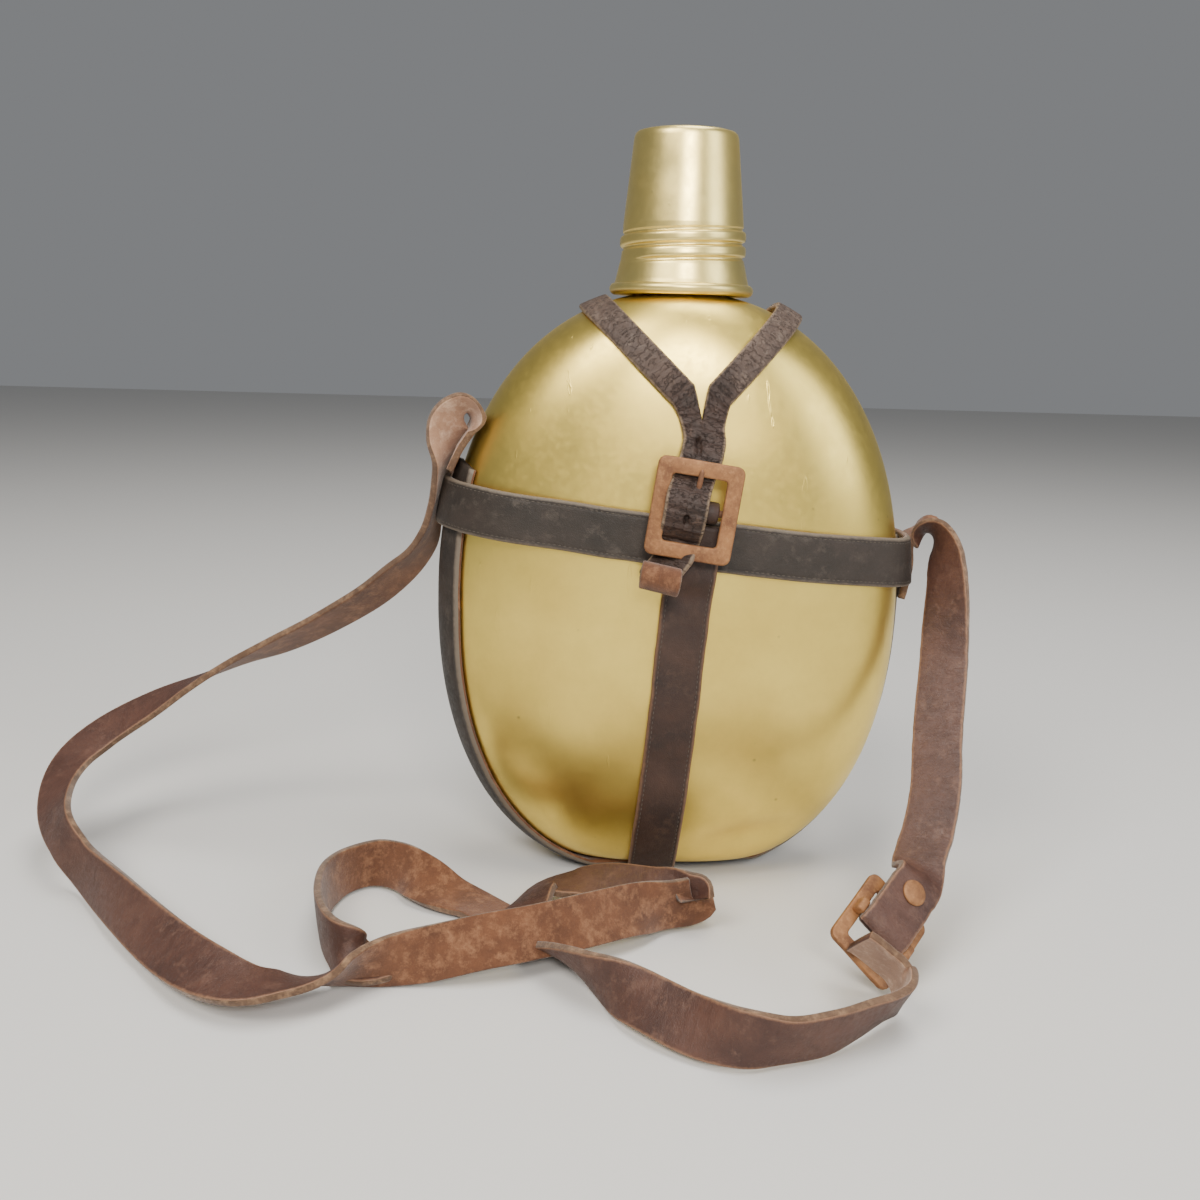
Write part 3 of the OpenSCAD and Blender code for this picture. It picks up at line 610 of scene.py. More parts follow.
def soft_section(half_width, thickness, corner=0.55):
    """Points round a strip's cross-section: (across, height), flesh side first."""
    h = thickness / 2
    arc = [(1 - math.cos(a), math.sin(a)) for a in np.radians([0, 22.5, 45, 67.5, 90])]
    right = [(half_width - corner * (1 - s), -h + corner * c) for c, s in arc]
    inner = [half_width * f for f in (-0.75, -0.5, -0.25, 0, 0.25, 0.5, 0.75)]
    bottom = [(x, -h) for x in inner]
    top = [(x, h) for x in inner[::-1]]
    left = [(-x, y) for x, y in right[::-1]]
    right_up = [(x, -y) for x, y in right[::-1]]
    left_up = [(-x, -y) for x, y in right]
    return bottom + right + right_up + top + left_up + left


def path_lengths(path):
    """Length of the path up to each of its points."""
    return np.concatenate([[0], np.cumsum(np.linalg.norm(np.diff(path, axis=0), axis=1))])


def sling_mesh(name, points, across, seed, pale_until=0.0, pale_end=0.0):
    """A carrying strap, with pale flesh leather over a length at its start and end."""
    p = spline(points, 8)
    v = spline(across, 8)
    d, w, n = strip_frame(p, v)
    section = np.array(soft_section(SLING_W / 2, SLING_T))
    m = len(p)
    sway = smooth_noise(m, 9, seed) * 0.22
    edge_a = smooth_noise(m, 21, seed + 1) * 0.18
    width = 1 + smooth_noise(m, 13, seed + 2) * 0.012
    a = section[None, :, 0] * width[:, None] + sway[:, None]
    cup = 0.25 * (np.abs(section[None, :, 0]) / (SLING_W / 2)) ** 2 * (1 + edge_a[:, None])
    b = section[None, :, 1] - cup
    grid = p[:, None, :] + w[:, None, :] * a[..., None] + n[:, None, :] * b[..., None]
    step = path_lengths(p)
    count = len(section)
    across_attr = np.repeat((section[:, 0] / (SLING_W / 2))[None], m, 0)
    middle = [(section[i, 1] + section[(i + 1) % count, 1]) / 2 for i in range(count)]
    flat = [abs(section[i, 1] - section[(i + 1) % count, 1]) < 0.12 for i in range(count)]

    def face_material(j, i):
        if not flat[i]:
            return 2
        if middle[i] > 0:
            return 0
        return 3 if step[j] < pale_until or step[j] > step[-1] - pale_end else 1

    attrs = {"across": across_attr, "along": np.repeat(step[:, None], count, 1)}
    skins = (GRAIN, SUEDE, EDGE_CUT, SUEDE_PALE)
    return grid_mesh(name, grid, False, attrs, skins, face_material), p, step[-1]


sling_long, long_path, long_length = sling_mesh(
    "sling_long_leather", long_points, long_across, 11, pale_until=54, pale_end=46
)
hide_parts("sling_long")
sling_short, short_path, short_length = sling_mesh(
    "sling_short_leather", short_points, short_across, 23
)
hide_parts("sling_short")
print("sling lengths", round(long_length), round(short_length))

# ---------------------------------------------------------------- floor and light
def stage_floor():
    half = 3.0
    corners = [(-half, -half, 0), (half, -half, 0), (half, half, 0), (-half, half, 0)]
    mesh = bpy.data.meshes.new("floor")
    mesh.from_pydata(corners, [], [(0, 1, 2, 3)])
    floor = bpy.data.objects.new("floor", mesh)
    bpy.context.scene.collection.objects.link(floor)
    m, tree, shader = node_material("floor_paper")
    shader.inputs["Base Color"].default_value = (0.62, 0.61, 0.59, 1)
    shader.inputs["Roughness"].default_value = 0.9
    mesh.materials.append(m)


def area_light(name, at, target, size, power, color):
    data = bpy.data.lights.new(name, "AREA")
    data.shape = "RECTANGLE"
    data.size, data.size_y = size
    data.energy = power
    data.color = color
    light = bpy.data.objects.new(name, data)
    bpy.context.scene.collection.objects.link(light)
    light.location = Vector(at)
    light.rotation_euler = (Vector(target) - Vector(at)).to_track_quat("-Z", "Y").to_euler()


stage_floor()
area_light("key", (-0.55, -0.75, 1.0), (0, 0, 0.12), (0.6, 0.5), 12, (1.0, 0.96, 0.90))
area_light("front", (0.10, -1.10, 0.66), (0, 0, 0.15), (0.34, 0.26), 12, (1.0, 0.96, 0.90))
area_light("top", (0.15, 0.0, 1.25), (0, 0, 0.1), (0.9, 0.6), 12, (1.0, 0.98, 0.95))
area_light("fill", (0.9, -0.5, 0.55), (0, 0, 0.1), (0.5, 0.7), 5, (0.95, 0.97, 1.0))
world = bpy.data.worlds.new("room")
bpy.context.scene.world = world
world.use_nodes = True
world.node_tree.nodes["Background"].inputs["Color"].default_value = (0.75, 0.77, 0.8, 1)
world.node_tree.nodes["Background"].inputs["Strength"].default_value = 0.28


# ---------------------------------------------------------------- flask
def flask_levels():
    """Heights of the rings of the flask's outer face, close together where it turns."""
    body = np.linspace(11, 180, 96)
    shoulder = np.linspace(180.8, 188.2, 16)
    neck = np.linspace(190, NECK_TOP - 0.6, 8)
    return np.concatenate([UNDER + UNDER_EDGE_Z, body, shoulder, neck, [NECK_TOP - 0.2, NECK_TOP]])


def flask_grid(levels, inset, sides):
    a = np.arange(sides) * 2 * np.pi / sides
    n = plan_power(levels)[:, None]
    w = (half_w(levels) - inset)[:, None]
    d = (half_d(levels) - inset)[:, None]
    x = w * np.sign(np.cos(a)) * np.abs(np.cos(a)) ** (2 / n)
    y = d * np.sign(np.sin(a)) * np.abs(np.sin(a)) ** (2 / n)
    return np.stack([x, y, np.repeat(levels[:, None], sides, 1)], -1)


# Each dent in the front: centre x and z, reach along and across, lean, depth.
DENTS = (
    (26, 18, 18, 6.5, 0.22, 3.4),
    (-30, 70, 30, 24, 0, 0.5),
    (28, 92, 22, 30, 0, 0.5),
    (12, 150, 20, 12, 0, 0.35),
)


def dented(grid):
    """The flask's rings with the dents pressed into the front."""
    out = grid.copy()
    for x, z, rx, rz, lean, depth in DENTS:
        dx, dz = grid[..., 0] - x, grid[..., 2] - z
        u = (dx * math.cos(lean) + dz * math.sin(lean)) / rx
        v = (dz * math.cos(lean) - dx * math.sin(lean)) / rz
        push = depth * np.exp(-(u * u + v * v) * 1.4) * (grid[..., 1] < 0)
        out[..., 1] += push
    return out


def make_flask():
    """The shell as one closed skin: up the outside, over the lip and down the inside."""
    levels = flask_levels()
    sides = 224
    round_in = np.interp(levels, UNDER + UNDER_EDGE_Z, UNDER_EDGE_IN, right=0)
    outer = dented(flask_grid(levels, round_in, sides))
    keep = levels[::3]
    inner_levels = np.concatenate([[UNDER + FLASK_WALL], keep[keep > UNDER + 3], [NECK_TOP]])
    inner_in = np.interp(inner_levels, levels, round_in) + FLASK_WALL
    inner = dented(flask_grid(inner_levels, inner_in, sides))[::-1]
    lip = (outer[-1] + inner[0]) / 2 + np.array([0, 0, 0.35])
    grid = np.concatenate([outer, lip[None], inner])
    obj = grid_mesh("flask_shell", grid, False, materials=(GOLD,))
    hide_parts("flask_body")


make_flask()

# ---------------------------------------------------------------- cup, collar and stopper
CUP_FOOT = SHOULDER_Z - 1.5
THREAD_START = math.radians(-148)
THREAD_PITCH = 4.3
RIDGE_TURNS = 1.9


def ridge(angle, z, turns, low, half):
    """Height, 0 to 1, of a helical ridge at each angle and height.

    The ridge starts at the height low, and half is half its width.
    """
    out = np.zeros(np.broadcast_shapes(angle.shape, z.shape))
    for k in range(-1, 4):
        t = (angle - THREAD_START) / (2 * np.pi) + k
        centre = low + THREAD_PITCH * t
        ends = ramp(t, 0.0, 0.09) * (1 - ramp(t, turns - 0.09, turns))
        inside = (t > 0) & (t < turns)
        u = (z - centre) / half
        height = ends * np.clip(1 - u**4, 0, 1) * (np.abs(u) < 1)
        out = np.maximum(out, np.where(inside, height, 0))
    return out


def make_cup():
    """The cup as one closed skin, open end down, with its bead, ridge and groove."""
    f, top, end = CUP_FOOT, CUP_TOP, CUP_END_R
    side = np.array([
        (20.7, f + 3.2), (20.3, f + 4.6), (19.75, f + 7), (19.3, f + 9), (18.9, f + 10.4),
        (18.55, f + 13), (18.45, f + 17), (18.35, f + 21), (17.7, f + 27.5), (end + 1.0, top - 8),
    ])
    cap = [
        (end + 0.45, top - 2.6), (end + 0.3, top - 1.6), (end, top - 0.8), (end - 0.5, top - 0.3),
        (end - 1.4, top - 0.05), (end - 4, top), (8, top - 0.15), (4, top - 0.25), (0.4, top - 0.3),
    ]
    fine_z = np.concatenate([np.linspace(f + 3.2, f + 22.5, 130), np.linspace(f + 23, top - 8, 14)])
    wall = np.stack([np.interp(fine_z, side[:, 1], side[:, 0]), fine_z], 1)
    bead = [
        (CUP_RIM_R - 1.8 + 1.8 * math.cos(t), f + 1.9 + 1.8 * math.sin(t))
        for t in np.radians(np.linspace(-150, 62, 18))
    ]
    outer = np.array(bead + wall.tolist() + cap)
    inner = outer[len(bead):][::-1].copy()
    inner[:, 0] = np.maximum(0.4, inner[:, 0] - CUP_WALL)
    inner[:, 1] = np.minimum(inner[:, 1], CUP_TOP - CUP_WALL)
    profile = np.concatenate([outer, inner, [(19.1, f + 2), (18.95, f + 0.9)]])
    n_outer = len(outer)

    def bump(angle, r, z):
        grow = ridge(angle, z, RIDGE_TURNS, f + 11.9, 1.75)
        groove = ridge(angle, z, RIDGE_TURNS + 0.6, f + 9.75, 0.6)
        mask = (z > f + 4.6) & (z < f + 22.4)
        on_outside = np.arange(r.shape[1]) < n_outer
        amount = np.where(on_outside, 0.75, 0.25)
        r = r + (grow * amount - groove * 0.35 * on_outside) * mask
        away = (angle - 4.4 + np.pi) % (2 * np.pi) - np.pi
        dent = 0.14 * np.exp(-((away / 0.5) ** 2) - ((z - 221) / 5) ** 2)
        return r - dent * (z > f + 19), z

    obj = lathe("cup_shell", profile, 192, (GOLD_CUP,), "cup", bump)
    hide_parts("drinking_cup")


def make_collar():
    z0 = SHOULDER_Z + 2
    top = NECK_TOP - 0.6
    zs = np.linspace(z0 + 0.4, top - 0.5, 110)
    r = NECK_R + 0.9
    outer = [(r - 0.6, z0), (r - 0.2, z0 + 0.1)] + [(r, z) for z in zs]
    outer += [(r - 0.2, top - 0.1), (r - 0.6, top)]
    profile = np.array(outer + [(NECK_R + 0.1, top), (NECK_R + 0.1, z0)])

    def bump(angle, r, z):
        grow = ridge(angle, z, 2.4, z0 + 5, 1.25)
        return r + grow * 0.5 * (r > NECK_R + 0.85), z

    obj = lathe("collar_thread", profile, 160, (GOLD,), "flask", bump)
    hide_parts("neck_collar")


def make_stopper():
    """Cork, plate, washer and knobbed stem, and the seal ring in the cup's foot."""
    z1 = NECK_TOP
    bore = NECK_R - FLASK_WALL
    cork = np.array([
        (1.7, z1 - 15), (bore - 1.4, z1 - 15), (bore - 0.9, z1 - 14.5),
        (bore - 0.22, z1 - 0.3), (bore - 0.5, z1), (1.7, z1),
    ])
    rows = []
    for a, b in zip(cork, cork[1:]):
        rows += [a + (b - a) * t for t in np.linspace(0, 1, 8)[:-1]]
    rows.append(cork[-1])
    p = z1 + 0.2
    e = NECK_R - 0.2
    plate = [
        (1.65, p), (e - 0.4, p), (e - 0.1, p + 0.2), (e, p + 0.6), (e - 0.15, p + 1.0),
        (e - 0.5, p + 1.2), (e - 1.7, p + 1.15), (e - 2.5, p + 0.95), (e - 3.3, p + 1.1),
        (6, p + 1.2), (1.65, p + 1.2),
    ]
    w = z1 - 16.4
    washer = [
        (1.65, w), (6.7, w), (6.95, w + 0.25), (6.95, w + 0.95), (6.7, w + 1.2), (1.65, w + 1.2),
    ]
    k = p + 1.4
    foot = z1 - 18
    stem = [
        (0.05, foot), (1.8, foot), (2.6, foot + 0.4), (2.75, foot + 0.9), (2.5, foot + 1.3),
        (1.5, foot + 1.4), (1.5, k), (3.2, k), (3.4, k + 0.3), (3.0, k + 1.2), (2.6, k + 2.2),
        (2.9, k + 2.9), (4.1, k + 3.5), (4.35, k + 4.1), (4.2, k + 4.7), (3.4, k + 5.2),
        (1.8, k + 5.4), (0.05, k + 5.4),
    ]
    s = SHOULDER_Z + 1
    seal = [
        (16.35, s + 0.1), (16.5, s), (17.9, s), (18.15, s + 0.2), (18.2, s + 0.7),
        (18.15, s + 1.2), (17.9, s + 1.4), (16.5, s + 1.4), (16.35, s + 1.3),
    ]
    for name, profile, sides, material, body, node, slot in (
        ("stopper_cork_body", rows, 96, CORK, "stopper", "stopper_cork", "cork"),
        ("stopper_plate_disc", plate, 96, GOLD_CUP, "stopper", "stopper_plate", "flask_metal"),
        ("stopper_washer_disc", washer, 64, GOLD_CUP, "stopper", "stopper_washer", "flask_metal"),
        ("stopper_knob", stem, 64, GOLD_CUP, "stopper", "stopper_stem", "flask_metal"),
        ("seal_ring", seal, 96, SEAL, "seal", "cup_seal", "dark_leather"),
    ):
        obj = lathe(name, profile, sides, (material,), body)
        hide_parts(node)


make_cup()
make_collar()
make_stopper()

# ---------------------------------------------------------------- straps on the flask
lean = math.radians(HARNESS_LEAN)
LEAN_SIDE = np.array([math.cos(lean), 0, -math.sin(lean)])
BACK = np.array([0.0, 1, 0])
FRONT = np.array([0.0, -1, 0])
UPRIGHT_LEAN, UPRIGHT_X = 4.6, -4.5
lean = math.radians(UPRIGHT_LEAN)
UPRIGHT_UP = np.array([math.sin(lean), 0, math.cos(lean)])
UPRIGHT_CORE = np.array([UPRIGHT_X + 80 * math.tan(lean), 0, 80.0])
CRADLE_CORE = np.array([0, -1.0, BELLY_Z])
yaw = math.radians(8.5)
CRADLE_SIDE = np.array([math.cos(yaw), math.sin(yaw), 0])
YOKE_CORE = np.array([5.6, 0, 152.0])
LEFT_DIR = unit([-32, 0, 31])
RIGHT_DIR = unit([26, 0, 28.5])

# Places across a strap, as shares of its half width, from one edge to the other. The
# leather is creased and stitched at CREASE_AT.
CREASE_AT = 0.80
COLUMNS = [-1, -0.985, -0.95, -0.90, -0.84, -CREASE_AT, -0.76, -0.68, -0.45, -0.2, 0]
COLUMNS = COLUMNS + [-c for c in COLUMNS[-2::-1]]


def edge_round(u, corner):
    """How far a face of the strap is drawn in near its edge."""
    d = (1 - abs(u)) / corner
    return 0.0 if d >= 1 else 1 - math.sqrt(max(0.0, 1 - (1 - d) ** 2))


def strap(name, node, core, e1, e2, angles, width, lift, seed, closed=False, material=DARK,
          crease=0.12, wave=0.25):
    """A strap laid on the flask in the plane of e1 and e2, from angle to angle.

    Returns the two lines along its creases and the directions out of the leather there.
    """
    e1, e2 = np.asarray(e1, float), np.asarray(e2, float)
    e3 = unit(np.cross(e1, e2))
    angles = np.asarray(angles, float)
    m = len(angles)
    u = np.array(COLUMNS)
    drift = smooth_noise(m, 3.2, seed, closed) * wave
    width_wave = 1 + smooth_noise(m, 7, seed + 1, closed) * 0.008
    offset = u[None, :] * (width / 2) * width_wave[:, None] + drift[:, None]
    cores = core + e3 * offset[..., None]
    a = np.repeat(angles[:, None], len(u), 1)
    base = skin(cores, e1, e2, a)
    normal = skin_normal(cores, e1, e2, a)
    heights = np.broadcast_to(np.asarray(lift), (m,))[:, None]
    curl = 0.12 * smooth_noise(m, 5, seed + 2, closed)[:, None] * (u[None, :] ** 3)
    low_in = np.array([edge_round(x, 0.09) for x in u]) * 0.45 * STRAP_T
    top_in = np.array([edge_round(x, 0.13) for x in u]) * 0.5 * STRAP_T
    groove = crease * np.exp(-(((np.abs(u) - CREASE_AT) / 0.035) ** 2))
    curl = np.maximum(curl, 0)
    low = base + normal * (heights + low_in[None] + curl)[..., None]
    top = base + normal * (heights + STRAP_T - top_in[None] - groove[None] + curl)[..., None]
    grid = np.concatenate([low, top[:, ::-1]], 1)
    across = np.repeat(np.concatenate([u, u[::-1]])[None], m, 0)
    count = len(u)

    def face_material(j, i):
        return 1 if i < count - 1 else (2 if i in (count - 1, 2 * count - 1) else 0)

    skins = (material, SUEDE, EDGE_CUT)
    obj = grid_mesh(name, grid, closed, {"across": across}, skins, face_material)
    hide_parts(node)
    creases = (COLUMNS.index(-CREASE_AT), COLUMNS.index(CREASE_AT))
    return [top[:, k] for k in creases], [normal[:, k] for k in creases]


STITCH_PITCH, STITCH_LENGTH, STITCH_R = 1.6, 1.0, 0.13


def stitches(name, lines, outward, skip, closed=False):
    """Rows of short thread stitches lying in the creases, but not where skip says so."""
    verts, faces = [], []
    ring, rows = 6, 5
    for path, out in zip(lines, outward):
        if closed:
            path = np.concatenate([path, path[:1]])
            out = np.concatenate([out, out[:1]])
        step = path_lengths(path)
        for s in np.arange(STITCH_PITCH, step[-1] - STITCH_PITCH, STITCH_PITCH):
            p = np.array([np.interp(s, step, path[:, i]) for i in range(3)])
            q = np.array([np.interp(s + 0.5, step, path[:, i]) for i in range(3)])
            n = unit([np.interp(s, step, out[:, i]) for i in range(3)])
            if skip(p):
                continue
            d = unit(q - p)
            side = np.cross(n, d)
            start = len(verts)
            for k in range(rows):
                t = k / (rows - 1) * 2 - 1
                r = STITCH_R * math.sqrt(max(0.04, 1 - t**4))
                rise_here = 0.05 * (1 - t * t)
                for i in range(ring):
                    angle = 2 * math.pi * i / ring
                    up = r * 0.8 * math.sin(angle) + rise_here
                    at = p + d * t * STITCH_LENGTH / 2 + side * r * math.cos(angle)
                    verts.append(at + n * up)
            for k in range(rows - 1):
                for i in range(ring):
                    a, b = start + k * ring + i, start + k * ring + (i + 1) % ring
                    faces.append((a, b, b + ring, a + ring))
            faces.append(tuple(start + i for i in range(ring))[::-1])
            faces.append(tuple(start + (rows - 1) * ring + i for i in range(ring)))
    mesh = bpy.data.meshes.new(name)
    mesh.from_pydata((np.array(verts) * MM).tolist(), [], faces)
    mesh.materials.append(THREAD)
    mesh.polygons.foreach_set("use_smooth", [True] * len(faces))
    obj = bpy.data.objects.new(name, mesh)
    bpy.context.scene.collection.objects.link(obj)
    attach(obj, "flask")


def make_harness():
    a = np.arange(0, 360, 1.25)
    lift = GAP + (LAYER + 0.2) * full_near(a, 188, 14, 32) + LAYER * full_near(a, 5, 12, 28)
    core = np.array([0, 0, BAND_Z])
    line, out = strap(
        "band_leather", "band_strap", core, LEAN_SIDE, BACK, a, STRAP_W, lift, 31, closed=True
    )
    stitches("band_stitching", line, out, lambda p: p[1] < 0 and -10 < p[0] < 20, closed=True)

    a = np.linspace(-141, 144, 260)
    lift = GAP + LAYER * ramp(np.abs(a), 118, 128) + LAYER * full_near(a, 0, 26, 44)
    line, out = strap(
        "front_strap_leather", "front_strap", UPRIGHT_CORE, -UPRIGHT_UP, BACK, a, STRAP_W, lift, 41,
        material=BROWN,
    )
    stitches("front_strap_stitching", line, out, lambda p: p[2] > 104)

    a = np.linspace(146, 378, 220)
    lift = np.full(len(a), GAP)
    strap(
        "cradle_leather", "cradle_strap", CRADLE_CORE, CRADLE_SIDE, (0, 0, 1), a, STRAP_W, lift, 51
    )

    a = np.linspace(18, 40, 60)
    lift = GAP + 2 * LAYER * ramp(a, 26, 32)
    strap(
        "back_tab_leather", "back_tab", UPRIGHT_CORE, UPRIGHT_UP, BACK, a, TAIL_W, lift, 81,
        material=YOKE, crease=0.05, wave=0.1,
    )


make_harness()

# ---------------------------------------------------------------- yoke
# The tail's middle line, from its crotch end down, given from the front buckle's centre.
TAIL_ROUTE = [
    (0, 7, 19.5), (-0.4, 3.6, 15.5), (-1, 2.4, 12.5),
    (-1.6, 2.1, 9.6), (-2.2, -0.1, 6.6), (-2.6, -2.2, 3.6), (-2.6, -2.6, 0.6), (-2.6, -2.2, -2.6),
    (-2.6, -0.6, -5.6), (-2.8, 2, -8.8), (-3.2, 2.4, -11.6), (-3.8, 2.2, -15),
]
ROLL_AT = (-6.2, -2.3, -20)
ROLL_R, ROLL_TURN = 4.3, 470

# Where the tail's halves part, at the middle and at the outer edge of each half.
CROTCH = np.array([5.8, -31.9, 149.9])
CROTCH_OUTER = {-1: np.array([-0.9, -31.9, 150.3]), 1: np.array([12.6, -31.8, 148.4])}
# Each hole: centre (x, z), half width, half height.
YOKE_HOLES = (((4.9, 143.0), 0.8, 2.4), ((1.5, 122.6), 0.9, 1.5))
# Places across one half, from the tail's middle line (0) to its outer edge (1).
HALF_COLUMNS = np.array([
    0, 0.015, 0.04, 0.075, 0.12, 0.18, 0.26, 0.36, 0.48,
    0.60, 0.72, 0.82, 0.89, 0.94, 0.975, 0.993, 1,
])
# Waves along the leather: radians per mm, phase, change across, height.
YOKE_WAVES = (
    (1.9, 0.4, 0.5, 0.10), (3.1, 2.0, 0.9, 0.07), (0.8, 1.1, 0.3, 0.10), (4.7, 0.2, 1.6, 0.04),
)


def tail_columns(side):
    """Middle surface of one half of the yoke's tail, from the crotch down into the roll."""
    roll = []
    for a in range(0, ROLL_TURN, 13):
        r = ROLL_R - 2.3 * a / 360
        t = math.radians(a)
        roll.append((ROLL_AT[0] - 0.3, ROLL_AT[1] + r * math.cos(t), ROLL_AT[2] - r * math.sin(t)))
    route = spline(np.array(TAIL_ROUTE + roll, float), 12)
    x = side * HALF_COLUMNS * TAIL_W / 2
    grid = np.repeat(route[:, None], len(x), 1)
    across = np.repeat(x[None], len(route), 0)
    below = ramp(-route[:, 2], 9, 15)[:, None]
    turn = np.radians(-27) * below
    grid[..., 0] += across * np.cos(turn)
    grid[..., 1] += across * np.sin(turn) - 0.9 * below
    return from_front_buckle(grid)


def branch_columns(side):
    """Middle surface of one branch, from near the crotch over the shoulder to the back."""
    e2 = RIGHT_DIR if side > 0 else LEFT_DIR
    e3 = unit(np.cross(FRONT, e2))
    if np.dot(e3, [side, 0, -1]) < 0:
        e3 = -e3
    a = np.linspace(14, 183, 340)
    offset = (HALF_COLUMNS - 0.5) * BRANCH_W
    cores = YOKE_CORE + e3 * offset[:, None]
    cores = np.repeat(cores[None], len(a), 0)
    angles = np.repeat(a[:, None], len(offset), 1)
    stand = GAP + STRAP_T / 2 + (1.6 * full_near(a, 90, 4, 40) if side > 0 else 0.0 * a)
    normal = skin_normal(cores, FRONT, e2, angles)
    on_skin = skin(cores, FRONT, e2, angles)
    facing = np.sum(normal * (on_skin - cores), -1, keepdims=True)
    return on_skin + normal * np.where(facing < 0, -1, 1) * stand[:, None, None]


def make_yoke_half(side):
    """Half of the tail and the branch that grows out of it, as one strip."""
    tail = tail_columns(side)[::-1]
    branch = branch_columns(side)
    u = HALF_COLUMNS[:, None]
    crotch = CROTCH * (1 - u) + CROTCH_OUTER[side] * u
    rows = np.stack([tail[-14], tail[-1], crotch, branch[0], branch[12]])
    joint = spline(rows, 22)[22:67]
    middle = np.concatenate([tail[:-1], joint, branch[1:]])
    split = len(tail) + 20
    m, count = middle.shape[:2]
    step = path_lengths(middle[:, 6])
    normal = unit(np.cross(np.gradient(middle, axis=0), np.gradient(middle, axis=1)))
    if np.mean(normal[split - 4 : split + 20, :, 1]) > 0:
        normal = -normal
    past = ramp(np.arange(m) - split, 0, 10)[:, None]
    uu = HALF_COLUMNS[None, :]
    outer = np.array([edge_round(x, 0.10) for x in HALF_COLUMNS])[None]
    inner = np.array([edge_round(1 - x, 0.10) for x in HALF_COLUMNS])[None] * past
    near_buckle = (1 - ramp(step, step[split] + 8, step[split] + 26))[:, None]
    wave = sum(
        height * np.sin(step[:, None] * f + phase + side * uu * k)
        for f, phase, k, height in YOKE_WAVES
    ) * (0.25 + 0.75 * near_buckle)
    top = STRAP_T / 2 * (1 - np.maximum(outer, inner)) + wave
    low = STRAP_T / 2 * (1 - 0.8 * np.maximum(outer, inner))
    upper = middle + normal * top[..., None]
    lower = middle - normal * low[..., None]
    for (x, z), rx, rz in YOKE_HOLES:
        reach = ((upper[..., 0] - x) / rx) ** 2 + ((upper[..., 2] - z) / rz) ** 2
        hollow = np.clip(1.25 - reach, 0, 1) * (upper[..., 1] < -30) * (normal[..., 1] < -0.3)
        upper = upper - normal * (1.7 * np.minimum(1, 3 * hollow))[..., None]
    grid = np.concatenate([lower, upper[:, ::-1]], 1)
    across = np.abs(uu - 0.5 * past) / (1 - 0.5 * past) + 0 * step[:, None]
    attrs = {
        "across": np.concatenate([across, across[:, ::-1]], 1),
        "along": np.repeat(step[:, None], 2 * count, 1),
        "second": np.repeat(near_buckle, 2 * count, 1),
    }

    def face_material(j, i):
        if i < count - 1:
            return 1
        return 2 if i == count - 1 or (i == 2 * count - 1 and j > split + 4) else 0

    name = "yoke_leather_right" if side > 0 else "yoke_leather_left"
    obj = grid_mesh(name, grid, False, attrs, (YOKE, SUEDE, EDGE_CUT), face_material)
    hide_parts(*(("yoke_right",) if side > 0 else ("yoke_left", "yoke_tail")))


make_yoke_half(-1)
make_yoke_half(1)

# ---------------------------------------------------------------- buckles
BAR_Y, BAR_R = 2.3, 1.1  # the bar behind a buckle's frame
PRONG_SLOT = 1.35  # half the slot in a fold that the prong passes through


def rounded_rect(w, h, r, corner=6, side=5):
    """Points round a rounded rectangle, the same number for every size."""
    out = []
    for cx, cz, start in ((1, 1, 0), (-1, 1, 90), (-1, -1, 180), (1, -1, 270)):
        for k in range(corner + 1):
            t = math.radians(start + 90 * k / corner)
            out.append((cx * (w / 2 - r) + r * math.cos(t), cz * (h / 2 - r) + r * math.sin(t)))
        nxt = math.radians(start + 90)
        ex, ez = out[-1]
        dx, dz = -math.sin(nxt - math.pi / 2), math.cos(nxt - math.pi / 2)
        sx, sz = {0: (-1, 1), 90: (-1, -1), 180: (1, -1), 270: (1, 1)}[start]
        tx, tz = sx * (w / 2 - r) + (r * math.cos(nxt)), sz * (h / 2 - r) + (r * math.sin(nxt))
        for k in range(1, side):
            out.append((ex + (tx - ex) * k / side, ez + (tz - ez) * k / side))
    return np.array(out)


def circle(n):
    return np.arange(n) * 2 * np.pi / n


def flat_loop(w, h, r, y):
    """A rounded rectangle that stands in the plane at y."""
    loop = rounded_rect(w, h, r)
    return np.column_stack([loop[:, 0], np.full(len(loop), y), loop[:, 1]])


